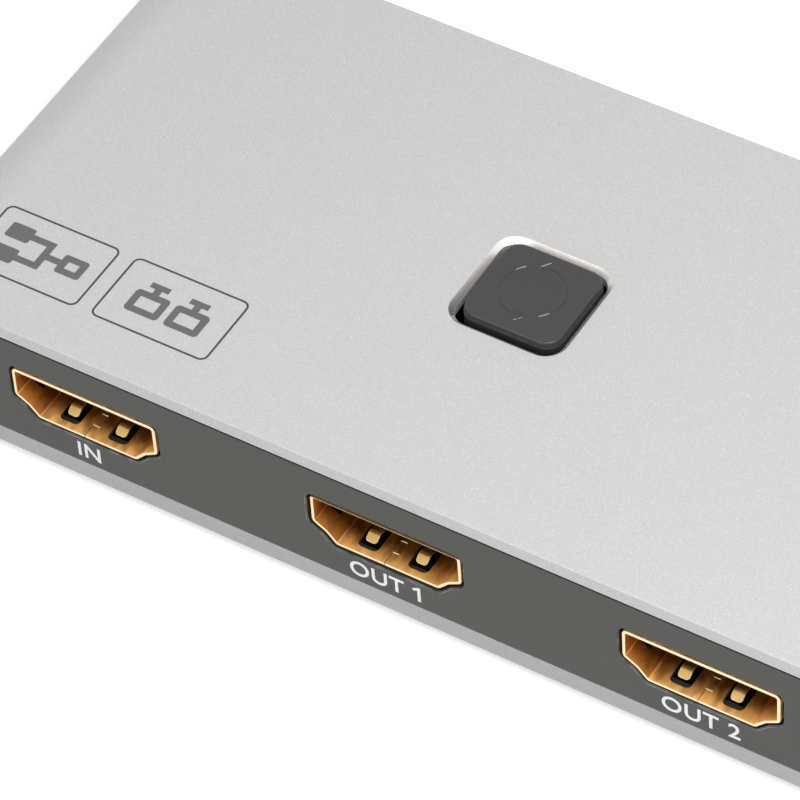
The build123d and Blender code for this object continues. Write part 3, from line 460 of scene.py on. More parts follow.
def flared_hole(face_corners, radii, surface, depth, flare, plane, outward, steps=6):
    """A cutting tool for a hole with a chamfer at the surface that it is cut from."""
    bm = bmesh.new()
    top = drawn_face(bm, face_corners, radii, steps)
    bmesh.ops.translate(bm, verts=bm.verts, vec=(0, 0, surface + outward))
    inner = pushed(bm, top, (0, 0, -outward))
    bmesh.ops.inset_region(bm, faces=[inner], thickness=flare, use_even_offset=True)
    bmesh.ops.translate(bm, verts=inner.verts, vec=(0, 0, -outward * flare))
    pushed(bm, inner, (0, 0, -outward * depth))
    bmesh.ops.transform(bm, matrix=plane, verts=bm.verts)
    return mesh_from(bm)


def stood(place, direction):
    """The move that takes a shape on the upright axis to a place, and turns it to a direction."""
    turn = Vector((0, 0, 1)).rotation_difference(Vector(direction)).to_matrix().to_4x4()
    return Matrix.Translation(place) @ turn


def turned(profile, base, direction, steps=40):
    """A solid of revolution: the profile's points are radius and height along the axis."""
    bm = bmesh.new()
    verts = [bm.verts.new((radius, 0, height)) for radius, height in profile]
    edges = [bm.edges.new(pair) for pair in zip(verts, verts[1:])]
    bmesh.ops.spin(bm, geom=verts + edges, axis=(0, 0, 1), angle=math.tau, steps=steps,
                   use_merge=True)
    merged(bm)
    bmesh.ops.transform(bm, matrix=stood(base, direction), verts=bm.verts)
    return mesh_from(bm)


def rod(radius, start, end, base, direction):
    """A round rod from start to end along its axis."""
    return turned([(0, start), (radius, start), (radius, end), (0, end)], base, direction)


def bent_rod(radius, start, first_run, bend, second_run):
    """A round rod that runs from its start towards -Y and then turns down."""
    bm = bmesh.new()
    bmesh.ops.create_circle(bm, cap_ends=True, segments=40, radius=radius)
    stand = Matrix.Translation(start) @ Matrix.Rotation(math.radians(90), 4, "X")
    bmesh.ops.transform(bm, matrix=stand, verts=bm.verts)
    bm.faces.ensure_lookup_table()
    end = pushed(bm, bm.faces[0], (0, -first_run, 0))
    centre = Vector(start) + Vector((0, -first_run, -bend))
    spun = bmesh.ops.spin(bm, geom=[end], cent=centre, axis=(1, 0, 0),
                          angle=math.radians(90), steps=10)
    bmesh.ops.delete(bm, geom=[end], context="FACES_ONLY")
    pushed(bm, of_kind(spun["geom_last"], bmesh.types.BMFace)[0], (0, 0, -second_run))
    merged(bm)
    return mesh_from(bm)


def ribbon(points, way):
    """A working mesh of a line through the points, drawn out along a vector."""
    bm = bmesh.new()
    verts = [bm.verts.new(point) for point in points]
    edges = [bm.edges.new(pair) for pair in zip(verts, verts[1:])]
    made = bmesh.ops.extrude_edge_only(bm, edges=edges)["geom"]
    bmesh.ops.translate(bm, verts=of_kind(made, bmesh.types.BMVert), vec=way)
    bm.verts.ensure_lookup_table()
    return bm


def as_sheet(bm, thickness):
    """The open faces of a working mesh as sheet of a thickness."""
    return modified(mesh_from(bm), "SOLIDIFY", thickness=thickness, offset=0,
                    use_even_offset=True)


def folded_strip(points, width, centre, bend, thickness, end_corner):
    """Sheet bent along (y, z) points, its width along x about a centre."""
    bm = ribbon([(centre - width / 2, y, z) for y, z in points], (width, 0, 0))
    last = bm.verts[len(points) - 1].co.copy()
    tip = [vert for vert in bm.verts if vert.co.yz == last.yz]
    bevelled(bm, tip, end_corner, 4, "VERTICES")
    bevelled(bm, [edge for edge in bm.edges if len(edge.link_faces) == 2], bend, 4)
    return as_sheet(bm, thickness)


def modified(mesh, kind, **values):
    """The mesh with one modifier applied to it."""
    carrier = bpy.data.objects.new("carrier", mesh)
    bpy.context.scene.collection.objects.link(carrier)
    modifier = carrier.modifiers.new(kind, kind)
    for name, value in values.items():
        setattr(modifier, name, value)
    graph = bpy.context.evaluated_depsgraph_get()
    made = bpy.data.meshes.new_from_object(carrier.evaluated_get(graph))
    bpy.data.objects.remove(carrier)
    bpy.data.meshes.remove(mesh)
    return made


def together(*meshes):
    """Several meshes as one, each still a solid of its own."""
    bm = bmesh.new()
    for mesh in meshes:
        bm.from_mesh(mesh)
        bpy.data.meshes.remove(mesh)
    return mesh_from(bm)


def combined(mesh, tools, operation):
    """The mesh cut by, or fused with, the tools."""
    tool = bpy.data.objects.new("tool", together(*tools))
    bpy.context.scene.collection.objects.link(tool)
    made = modified(mesh, "BOOLEAN", operation=operation, solver="EXACT", use_self=True,
                    object=tool)
    tool_mesh = tool.data
    bpy.data.objects.remove(tool)
    bpy.data.meshes.remove(tool_mesh)
    return made


def cut(mesh, *tools):
    """The mesh with the tools taken out of it."""
    return combined(mesh, tools, "DIFFERENCE")


def fused(mesh, *others):
    """The mesh and the others as one solid."""
    return combined(mesh, others, "UNION")


def moved(mesh, x=0, y=0, z=0):
    """The same mesh in another place."""
    mesh.transform(Matrix.Translation((x, y, z)))
    return mesh


def softened(mesh, reach, angle=35):
    """The mesh with its sharp edges rounded, and the rounded faces marked as rims."""
    bm = working_copy(mesh)
    merged(bm)
    bmesh.ops.dissolve_degenerate(bm, edges=bm.edges, dist=MERGED)
    bmesh.ops.dissolve_limit(bm, angle_limit=math.radians(0.2), verts=bm.verts, edges=bm.edges)
    sharp = [edge for edge in bm.edges
             if edge.is_manifold and edge.calc_face_angle() > math.radians(angle)]
    rim = bm.faces.layers.float.new("rim")
    for face in bevelled(bm, sharp, reach, 2, clamp=True)["faces"]:
        face[rim] = 1.0
    return mesh_from(bm)


def marked(mesh, name, chosen=lambda normal, middle: True):
    """The mesh with a mark of one on the faces whose normal and middle pass a test."""
    bm = working_copy(mesh)
    layer = bm.faces.layers.float.get(name) or bm.faces.layers.float.new(name)
    for face in bm.faces:
        if chosen(face.normal, face.calc_center_median()):
            face[layer] = 1.0
    return mesh_from(bm)


def piece(name, mesh, slot, replaces=(), body="case", look=None):
    """Turn a drawn mesh into a finished piece of the splitter, in metres."""
    mesh.shade_smooth()
    mesh.set_sharp_from_angle(angle=math.radians(32))
    mesh = modified(mesh, "WEIGHTED_NORMAL", keep_sharp=True, weight=100)
    mesh.transform(Matrix.Scale(MM, 4))
    mesh.name = name
    mesh.materials.clear()
    mesh.materials.append(finish(look or slot))
    made = bpy.data.objects.new(name, mesh)
    bpy.context.scene.collection.objects.link(made)
    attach(made, body)
    if replaces:
        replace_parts(made, *replaces)


def dress(node, material):
    """Give a node of the packed model its finish."""
    mesh = frame["nodes"][node].data
    mesh.materials.clear()
    mesh.materials.append(material)


# Nodes that the effects and the finishes share

def fed(tree, socket, value):
    """Link an output to a node's input, or set the input to a plain value."""
    if isinstance(value, bpy.types.NodeSocket):
        tree.links.new(value, socket)
    else:
        socket.default_value = value


def math_node(tree, operation, first, second):
    """A Math node on outputs or plain numbers, by its output."""
    node = tree.nodes.new("ShaderNodeMath")
    node.operation = operation
    fed(tree, node.inputs[0], first)
    fed(tree, node.inputs[1], second)
    return node.outputs[0]


def times(tree, first, second):
    """The product of two outputs or plain numbers."""
    return math_node(tree, "MULTIPLY", first, second)


def ranged(tree, value, low, high, to_low, to_high):
    """A value carried from one range to another, and kept within it."""
    node = tree.nodes.new("ShaderNodeMapRange")
    for label, setting in (("Value", value), ("From Min", low), ("From Max", high),
                           ("To Min", to_low), ("To Max", to_high)):
        fed(tree, node.inputs[label], setting)
    return node.outputs["Result"]


def between(tree, share, low, high):
    """A number between two others, by a share from zero to one."""
    return ranged(tree, share, 0, 1, low, high)


def blended(tree, mask, first, second):
    """A colour between two others, by a mask. Each is an output or a plain colour."""
    node = tree.nodes.new("ShaderNodeMix")
    node.data_type = "RGBA"
    tree.links.new(mask, node.inputs["Factor"])
    for socket, value in ((node.inputs[6], first), (node.inputs[7], second)):
        fed(tree, socket, (*value, 1) if isinstance(value, tuple) else value)
    return node.outputs[2]


def darker(tone, share):
    """A colour times a share."""
    return tuple(channel * share for channel in tone)


def mottled(tree, mask, tone, low, high):
    """A colour that wanders between two shares of a tone, by a mask."""
    return blended(tree, mask, darker(tone, low), darker(tone, high))


def marks(tree, name):
    """The mark that a piece's faces carry under a name, from zero to one."""
    node = tree.nodes.new("ShaderNodeAttribute")
    node.attribute_name = name
    return node.outputs["Fac"]


def axes(tree, place):
    """The three coordinates of a place."""
    node = tree.nodes.new("ShaderNodeSeparateXYZ")
    tree.links.new(place, node.inputs["Vector"])
    return node.outputs


def noise(tree, place, scale, detail, roughness=0.5):
    """A noise texture's value."""
    node = tree.nodes.new("ShaderNodeTexNoise")
    for label, setting in (("Vector", place), ("Scale", scale), ("Detail", detail),
                           ("Roughness", roughness)):
        fed(tree, node.inputs[label], setting)
    return node.outputs["Fac"]


def along(tree, coordinate, run, start, end):
    """A number that changes along a coordinate, over a run in millimetres."""
    return ranged(tree, coordinate, run[0] * MM, run[1] * MM, start, end)


def spread_out(tree, value):
    """Noise, which keeps near its middle, spread over the range from zero to one."""
    return ranged(tree, value, 0.3, 0.7, 0, 1)


# Effects that several finishes use, each a shader node group

def new_group(name, settings, results):
    """A shader node group from a vector and number settings to number results."""
    tree = bpy.data.node_groups.new(name, "ShaderNodeTree")
    tree.interface.new_socket(name="Vector", in_out="INPUT", socket_type="NodeSocketVector")
    for label, value in settings.items():
        socket = tree.interface.new_socket(name=label, in_out="INPUT",
                                           socket_type="NodeSocketFloat")
        socket.default_value = value
    for label in results:
        tree.interface.new_socket(name=label, in_out="OUTPUT", socket_type="NodeSocketFloat")
    source = tree.nodes.new("NodeGroupInput").outputs
    return tree, source, tree.nodes.new("NodeGroupOutput").inputs


def grain_group():
    """Fine grain: a height for bumps, and a soft and a cloudy tone."""
    tree, source, result = new_group("fine_grain", {"Fine": 5000.0, "Cloud": 120.0},
                                     ("Height", "Tone", "Cloud"))
    fine = noise(tree, source["Vector"], source["Fine"], 3.0, 0.62)
    cloud = noise(tree, source["Vector"], source["Cloud"], 4.0)
    tree.links.new(fine, result["Height"])
    tree.links.new(spread_out(tree, fine), result["Tone"])
    tree.links.new(spread_out(tree, cloud), result["Cloud"])
    return tree


def sparkle_group():
    """Sparse bright points: painted glints on blasted metal, tinned spots on a board."""
    tree, source, result = new_group("sparkle", {"Scale": 3500.0, "Share": 0.12}, ("Mask",))
    cells = tree.nodes.new("ShaderNodeTexVoronoi")
    cells.feature = "F1"
    tree.links.new(source["Vector"], cells.inputs["Vector"])
    tree.links.new(source["Scale"], cells.inputs["Scale"])
    near = ranged(tree, cells.outputs["Distance"], 0.1, 0.42, 1, 0)
    parts = tree.nodes.new("ShaderNodeSeparateColor")
    tree.links.new(cells.outputs["Color"], parts.inputs[0])
    chosen = math_node(tree, "LESS_THAN", parts.outputs[0], source["Share"])
    tree.links.new(times(tree, near, chosen), result["Mask"])
    return tree


def rim_group():
    """Edge wear and painted highlights on edges: the marked rims, broken up by noise."""
    tree, source, result = new_group("rubbed_rim", {"Scale": 700.0, "Low": 0.45, "High": 0.62},
                                     ("Mask",))
    rubbing = noise(tree, source["Vector"], source["Scale"], 3.0)
    broken = ranged(tree, rubbing, source["Low"], source["High"], 0, 1)
    tree.links.new(times(tree, marks(tree, "rim"), broken), result["Mask"])
    return tree


def lines_group():
    """Fine lines along Y, as rolled or drawn metal has."""
    tree, source, result = new_group("drawn_lines", {"Across": 9000.0, "Along": 260.0},
                                     ("Height", "Tone"))
    scale = tree.nodes.new("ShaderNodeCombineXYZ")
    for label, socket in zip(("Across", "Along", "Across"), scale.inputs):
        tree.links.new(source[label], socket)
    stretch = tree.nodes.new("ShaderNodeVectorMath")
    stretch.operation = "MULTIPLY"
    tree.links.new(source["Vector"], stretch.inputs[0])
    tree.links.new(scale.outputs["Vector"], stretch.inputs[1])
    height = noise(tree, stretch.outputs["Vector"], 1.0, 2.0)
    tree.links.new(height, result["Height"])
    tree.links.new(spread_out(tree, height), result["Tone"])
    return tree


EFFECTS = {"grain": grain_group, "sparkle": sparkle_group, "rim": rim_group, "lines": lines_group}
GROUPS = {}


def effect(tree, name, place, **values):
    """One of the shared effects placed in a material with its own values, by its outputs."""
    if name not in GROUPS:
        GROUPS[name] = EFFECTS[name]()
    node = tree.nodes.new("ShaderNodeGroup")
    node.node_tree = GROUPS[name]
    tree.links.new(place, node.inputs["Vector"])
    for label, value in values.items():
        node.inputs[label].default_value = value
    return node.outputs


# Finishes of the pieces

def new_finish(name, metallic, **plain):
    """A material with its shader's even settings, its node tree and its coordinates."""
    material = bpy.data.materials.new(name)
    material.use_nodes = True
    tree = material.node_tree
    shader = tree.nodes["Principled BSDF"]
    shader.inputs["Metallic"].default_value = metallic
    for label, value in plain.items():
        shader.inputs[label.replace("_", " ")].default_value = value
    place = tree.nodes.new("ShaderNodeTexCoord").outputs["Object"]
    return material, tree, shader, place


def connect(tree, shader, base, rough, height=None, depth=0, strength=1.0):
    """Lead a colour, a roughness and a height, its depth in millimetres, to the shader."""
    tree.links.new(base, shader.inputs["Base Color"])
    tree.links.new(rough, shader.inputs["Roughness"])
    if height is not None:
        bump = tree.nodes.new("ShaderNodeBump")
        bump.inputs["Strength"].default_value = strength
        bump.inputs["Distance"].default_value = depth * MM
        tree.links.new(height, bump.inputs["Height"])
        tree.links.new(bump.outputs["Normal"], shader.inputs["Normal"])


def moulded(name, tone, roughness, spread=0.12, fine=4200.0, depth=0.004, edge_wear_and_glint=None, metallic=0):
    """Moulded plastic, rubber or a dull coating: soft grain, cloudy tone and edge wear on the
    rims, which on the panels also stands for painted glints.
    """
    material, tree, shader, place = new_finish(name, metallic)
    grain = effect(tree, "grain", place, Fine=fine)
    base = mottled(tree, grain["Cloud"], tone, 1 - spread, 1 + spread)
    if edge_wear_and_glint:
        base = blended(tree, effect(tree, "rim", place)["Mask"], base, edge_wear_and_glint)
    rough = between(tree, grain["Tone"], roughness * 0.85, roughness * 1.15)
    connect(tree, shader, base, rough, grain["Height"], depth)
    return material


def ink(name, tone):
    """Printed ink: an even tone with a slightly uneven gloss."""
    return moulded(name, tone, 0.55, spread=0.03, fine=7000.0, depth=0.002)


def bare_metal(name, tone, roughness, line=260.0, rim_tone=None):
    """Plated or drawn metal: lines along Y, an uneven gloss and brighter rims."""
    material, tree, shader, place = new_finish(name, 1.0)
    lines = effect(tree, "lines", place, Along=line)
    base = mottled(tree, lines["Tone"], tone, 0.93, 1)
    if rim_tone:
        rim = effect(tree, "rim", place, Low=0.0, High=0.2)
        base = blended(tree, rim["Mask"], base, rim_tone)
    rough = between(tree, lines["Tone"], roughness * 0.75, roughness * 1.25)
    connect(tree, shader, base, rough, lines["Height"], 0.0015)
    return material


def blasted_aluminium(tone):
    """Bead-blasted, anodised aluminium: dense grain, sparse painted glints, bright cut faces, and
    painted shade on the ends and on the hole's left chamfer.
    """
    material, tree, shader, place = new_finish("blasted_aluminium", 0.35)
    grain = effect(tree, "grain", place, Fine=8200.0, Cloud=45.0)
    # The sparse bright points are painted glints
    points = effect(tree, "sparkle", place, Scale=6200.0, Share=0.14)
    lines = effect(tree, "lines", place, Across=2200.0, Along=2200.0)
    milled = marks(tree, "cut")
    base = mottled(tree, grain["Tone"], tone, 0.9, 1.1)
    base = blended(tree, points["Mask"], base, darker(tone, 1.35))
    base = blended(tree, milled, base, blended(tree, lines["Tone"], MILLED_DARK, MILLED_LIGHT))
    x, y, z = axes(tree, place)
    # Painted shade: the sleeve's ends darken towards the bottom
    ends = times(tree, marks(tree, "end"), along(tree, z, END_SHADE_LEVELS, 0.32, 0.08))
    # Painted shade on the hole's left chamfer, deepest at its front
    left = times(tree, milled, math_node(tree, "LESS_THAN", x, CHAMFER_LEFT * MM))
    left = times(tree, left, along(tree, y, CHAMFER_SHADE_RUN, 0.62, 0))
    base = blended(tree, math_node(tree, "MAXIMUM", ends, left), base, SHADE_BLACK)
    rough = math_node(tree, "SUBTRACT", between(tree, grain["Cloud"], 0.5, 0.58),
                      times(tree, milled, 0.26))
    tree.links.new(between(tree, milled, 0.35, 0.6), shader.inputs["Metallic"])
    connect(tree, shader, base, rough, grain["Height"], 0.006)
    return material


def gold_plate(tone):
    """Gold plate: rolled lines, painted light at a paler mouth, yellow springs, painted shade on
    the lip and on faces turned to the right, painted highlights along the folds and on pale rims.
    """
    material, tree, shader, place = new_finish("gold_plate", 1.0, Specular_Tint=(*tone, 1))
    lines = effect(tree, "lines", place, Across=1500.0, Along=520.0)
    # Painted light: the mouth is paler where light falls in from the front
    mouth = along(tree, axes(tree, place)["Y"], MOUTH_RUN, 1, 0)
    painted_mouth_light = times(tree, mouth, between(tree, lines["Tone"], 0.65, 1))
    base = mottled(tree, lines["Tone"], tone, 0.7, 1)
    # Over the plate's tone: painted light at the mouth, painted shade on faces turned to the
    # right, painted highlights along the folds, the springs' own tone, painted shade on the lip,
    # and painted highlights on the rims
    for mask, shade in (
            (painted_mouth_light, GOLD_MOUTH_LIGHT),
            (times(tree, marks(tree, "flank"), 0.8), GOLD_FLANK_SHADE),
            (marks(tree, "fold"), GOLD_FOLD_HIGHLIGHT),
            (marks(tree, "spring"), GOLD_SPRING),
            (marks(tree, "shaded"), GOLD_SHADED),
            (effect(tree, "rim", place, Low=0.0, High=0.2)["Mask"], GOLD_RIM_HIGHLIGHT)):
        base = blended(tree, mask, base, shade)
    rough = math_node(tree, "ADD", between(tree, lines["Tone"], 0.35, 0.46),
                      times(tree, painted_mouth_light, 0.32))
    connect(tree, shader, base, rough, lines["Height"], 0.05)
    return material


def button_plastic(tone):
    """Fine-grained plastic with edge wear on the rims; the skirt inside the gap is unpolished and
    dull, and darkened as painted shade.
    """
    material, tree, shader, place = new_finish("button_plastic", 0)
    grain = effect(tree, "grain", place, Fine=3600.0)
    # The skirt is darkened: painted shade in the gap round the cap
    skirt = marks(tree, "skirt")
    base = mottled(tree, grain["Cloud"], tone, 0.97, 1.03)
    base = blended(tree, effect(tree, "rim", place)["Mask"], base, BUTTON_RUBBED)
    base = blended(tree, skirt, base, darker(tone, 0.05))
    rough = math_node(tree, "ADD", between(tree, grain["Tone"], 0.32, 0.44),
                      times(tree, skirt, 0.6))
    rough = math_node(tree, "SUBTRACT", rough, times(tree, marks(tree, "groove"), 0.26))
    connect(tree, shader, base, rough, grain["Height"], 0.0015)
    return material


def solder_mask(tone):
    """A circuit board: lacquer over copper tracks and a weave, with tinned spots."""
    material, tree, shader, place = new_finish("solder_mask", 0.0, Coat_Weight=0.4)
    tracks = tree.nodes.new("ShaderNodeTexBrick")
    for label, setting in (("Vector", place), ("Scale", 240.0), ("Mortar Size", 0.11),
                           ("Brick Width", 1.9), ("Row Height", 0.24), ("Color1", (*tone, 1)),
                           ("Color2", (*darker(tone, 1.25), 1)),
                           ("Mortar", (*darker(tone, 0.45), 1))):
        fed(tree, tracks.inputs[label], setting)
    spots = effect(tree, "sparkle", place, Scale=420.0, Share=0.2)
    ringed = math_node(tree, "GREATER_THAN", spots["Mask"], 0.55)
    base = blended(tree, ringed, tracks.outputs["Color"], TINNED_SPOT)
    grain = effect(tree, "grain", place, Fine=1600.0)
    rough = between(tree, grain["Tone"], 0.28, 0.42)
    connect(tree, shader, base, rough, tracks.outputs["Fac"], 0.02, strength=0.4)
    return material


def clear_plastic(name, tone):
    """Clear moulded plastic with a faint haze."""
    material, tree, shader, place = new_finish(name, 0.0, IOR=1.49, Transmission_Weight=0.85)
    grain = effect(tree, "grain", place, Fine=900.0)
    base = mottled(tree, grain["Cloud"], tone, 0.94, 1)
    connect(tree, shader, base, between(tree, grain["Tone"], 0.1, 0.22))
    return material


MAKERS = {
    "sleeve": lambda: blasted_aluminium(colours().sleeve),
    # The panels' rims are lightened: edge wear and painted glints
    "panel": lambda: moulded("satin_panel", colours().panel, 0.42, spread=0.04, fine=5200.0,
                             depth=0.002, edge_wear_and_glint=PANEL_RIM_WEAR_AND_GLINT),
    "gold_shell": lambda: gold_plate(colours().gold),
    "button": lambda: button_plastic(colours().button),
    "board": lambda: solder_mask(colours().board),
    "label_ink": lambda: ink("white_ink", colours().letters),
    "badge_ink": lambda: ink("frame_ink", colours().badge),
    "picture_ink": lambda: ink("picture_ink", colours().picture),
    "foot_rubber": lambda: moulded("foot_rubber", (0.028, 0.028, 0.028), 0.75, depth=0.008),
    "screw": lambda: bare_metal("black_zinc", (0.13, 0.13, 0.14), 0.34, line=3000.0,
                                rim_tone=(0.4, 0.4, 0.4)),
    "black_insulator": lambda: moulded("black_insulator", (0.018, 0.018, 0.018), 0.5),
    "gold_contact": lambda: bare_metal("gold_flash", (0.93, 0.7, 0.36), 0.25),
    "plunger": lambda: moulded("plunger_plastic", (0.03, 0.03, 0.03), 0.45),
    "steel": lambda: bare_metal("nickel_steel", (0.6, 0.59, 0.57), 0.28,
                                rim_tone=(0.85, 0.85, 0.84)),
    "tinned_lead": lambda: bare_metal("tinned_lead", (0.66, 0.66, 0.65), 0.33, line=2400.0),
    "chip": lambda: moulded("chip_epoxy", (0.026, 0.026, 0.028), 0.6, spread=0.2, depth=0.006),
    "heat_pad": lambda: moulded("heat_pad", (0.3, 0.38, 0.48), 0.8, depth=0.01),
    "heat_sink": lambda: moulded("black_anodise", (0.045, 0.045, 0.047), 0.42, metallic=0.6),
    "ferrite": lambda: moulded("ferrite", (0.075, 0.075, 0.08), 0.7, spread=0.25, depth=0.012),
    "can": lambda: bare_metal("drawn_can", (0.72, 0.72, 0.72), 0.25, line=1500.0),
    "ceramic": lambda: moulded("ceramic", (0.42, 0.3, 0.18), 0.45, spread=0.15),
    "resistor": lambda: moulded("resistor_glaze", (0.035, 0.035, 0.04), 0.3, spread=0.2),
    "lamp": lambda: clear_plastic("lamp_lens", (0.9, 0.9, 0.84)),
    "light_pipe": lambda: clear_plastic("light_pipe", (0.92, 0.95, 0.96)),
}
FINISHES = {}


def colours():
    """The finishes' colours as plain tuples."""
    group = scene_group("colours")
    return SimpleNamespace(**{name: tuple(getattr(group, name)) for name in group.__annotations__})


def finish(slot):
    """The finish of a material slot, made once."""
    if slot not in FINISHES:
        FINISHES[slot] = MAKERS[slot]()
    return FINISHES[slot]


# Places that come from the packed model

def sockets():
    """Name, middle and lip of each video socket, with the level of its underside."""
    height = sizes("socket").height
    rows = []
    for name in ("in_socket", "out_1_socket", "out_2_socket"):
        low, high = extent(f"{name}_shell")
        rows.append(SimpleNamespace(name=name, x=(low.x + high.x) / 2, lip=low.y,
                                    base=high.z - height))
    return rows


def socket_corners(s, growth=0):
    """A video socket's outline with its wide side up, about the middle of its base."""
    half = s.width / 2
    right = [
        (half, s.height),
        (half, s.shoulder),
        (half - s.shoulder_run, s.shoulder - s.shoulder_drop),
        (s.base / 2, 0),
    ]
    corners = right + [(-x, z) for x, z in reversed(right)]
    return grown(corners, growth) if growth else corners


def grown(corners, growth):
    """A clockwise outline with every side moved outwards."""
    moved_corners = []
    count = len(corners)
    for index in range(count):
        before, here, after = (Vector(corners[(index + step) % count]) for step in (-1, 0, 1))
        first = (here - before).normalized()
        second = (after - here).normalized()
        outward_first = Vector((-first.y, first.x))
        outward_second = Vector((-second.y, second.x))
        spread = outward_first + outward_second
        reach = growth / (1 + outward_first.dot(outward_second))
        moved_corners.append(tuple(here + spread * reach))
    return moved_corners


def socket_radii(s, growth=0):
    """Corner radii of a socket outline grown by a margin: the shoulder's notch turns inwards."""
    outward = max(s.corner + growth, TIGHTEST)
    notch = max(s.corner - growth, TIGHTEST)
    right = [outward, outward, notch, outward]
    return right + right[::-1]


def boss_places():
    """The screw bosses' middles, left and right, with their level."""
    low, high = extent("socket_panel_screws")
    head = (high.z - low.z) / 2
    level = (low.z + high.z) / 2
    return [(low.x + head, level), (high.x - head, level)]


def inlet_mouth():
    """Width, height and middle of the power inlet's shell, as seen from the front."""
    low, high = extent("power_inlet_shell")
    tall = sizes("inlet").height
    return high.x - low.x, tall, ((low.x + high.x) / 2, high.z - tall / 2)


def light_places():
    """Middle and level of each light pipe at the power panel."""
    low, high = extent("light_pipes")
    collar = sizes("pipes").collar
    first, last = low.x + collar, high.x - collar
    return [(x, high.z - collar) for x in (first, (first + last) / 2, last)]


# The pieces

class SPLITTER_OT_sleeve(bpy.types.Operator):
    """Draw the aluminium sleeve with its board rails, screw bosses and button hole"""
    bl_idname = "splitter.sleeve"
    bl_label = "Sleeve"

    def execute(self, context):
        s = sizes("sleeve")
        low, high = extent("case_sleeve")
        long, _, tall = high - low
        shape = block(long, tall, low.y, high.y, (0, (low.z + high.z) / 2), s.corner,
                      FACING_FRONT, 26, (s.end_break, s.end_break))
        inside_tall = tall - s.top_wall - s.bottom_wall
        inside_long = long - 2 * s.side_wall
        inside_middle = low.z + s.bottom_wall + inside_tall / 2
        cavity = block(inside_long, inside_tall, low.y - PAST, high.y + PAST, (0, inside_middle),
                       s.corner - s.side_wall, FACING_FRONT, 22)
        across = s.hole + 2 * s.hole_chamfer
        hole = flared_hole(box_corners(across, across, (0, -s.hole_forward)),
                           [s.hole_corner + s.hole_chamfer] * 4, high.z, 2 * s.top_wall,
                           s.hole_chamfer, LYING, 1, 10)
        shape = softened(cut(shape, cavity, hole), s.edge_soft)
        # The hole's chamfer is marked as milled; its left side also takes painted shade
        shape = marked(shape, "cut", lambda normal, middle: (
            max(map(abs, middle.xy)) < across and 0.6 < normal.z < 0.8))
        # The ends are marked for painted shade that deepens towards the bottom
        shape = marked(shape, "end", lambda normal, middle: (
            abs(normal.y) > 0.9 and abs(middle.y) > high.y - 0.1))
        piece("sleeve", together(shape, *self.rails(s, low, inside_long, long)), "sleeve",
              ["case_sleeve"])
        return {"FINISHED"}

    def rails(self, s, low, inside_long, long):
        """The rails under and over the board's edges, and the bosses for the panel screws."""
        start = extent("socket_panel")[1].y
        end = -start
        board_low, board_high = extent("circuit_board")
        floor = low.z + s.bottom_wall
        root = long / 2 - s.side_wall + s.root
        rail_end = inside_long / 2 - s.rail_reach
        upper_level = board_high.z + 2 * s.rail_play + s.rail_thick / 2
        shapes = []
        for side, (boss_x, boss_level) in zip((-1, 1), boss_places()):
            rail_x = side * (root + rail_end) / 2
            lower, upper, web = (
                block(wide, tall, start, end, middle, 0, FACING_FRONT)
                for wide, tall, middle in (
                    (root - rail_end, board_low.z - floor,
                     (rail_x, (board_low.z + floor) / 2 - s.rail_play)),
                    (root - rail_end, s.rail_thick, (rail_x, upper_level)),
                    (root - abs(boss_x), s.boss_web,
                     (side * (root + abs(boss_x)) / 2, boss_level))))
            place = (boss_x, start, boss_level)
            boss = rod(s.boss_radius, 0, end - start, place, (0, 1, 0))
            bore = rod(s.boss_bore, -PAST, end - start + PAST, place, (0, 1, 0))
            slot = block(s.boss_radius, s.boss_slot, start - PAST, end + PAST,
                         (boss_x - side * (s.boss_radius / 2 + s.slot_start), boss_level), 0,
                         FACING_FRONT)
            shapes += [cut(fused(boss, web), bore, slot), lower, upper]
        return shapes


class SPLITTER_OT_feet(bpy.types.Operator):
    """Draw the four rubber feet"""
    bl_idname = "splitter.feet"
    bl_label = "Feet"

    def execute(self, context):
        f = sizes("feet")
        low, high = extent("rubber_feet")
        thick = high.z - low.z
        arc = 0.3 * f.rounding
        profile = [(0, f.hollow), (f.radius - f.ring, f.hollow),
                   (f.radius - f.ring + f.slope, 0), (f.radius - f.rounding, 0),
                   (f.radius - arc, arc), (f.radius, f.rounding), (f.radius, thick), (0, thick)]
        feet = [
            turned(profile, (x, y, low.z), (0, 0, 1), 64)
            for x in (low.x + f.radius, high.x - f.radius)
            for y in (low.y + f.radius, high.y - f.radius)
        ]
        piece("feet", together(*feet), "foot_rubber", ["rubber_feet"])
        return {"FINISHED"}


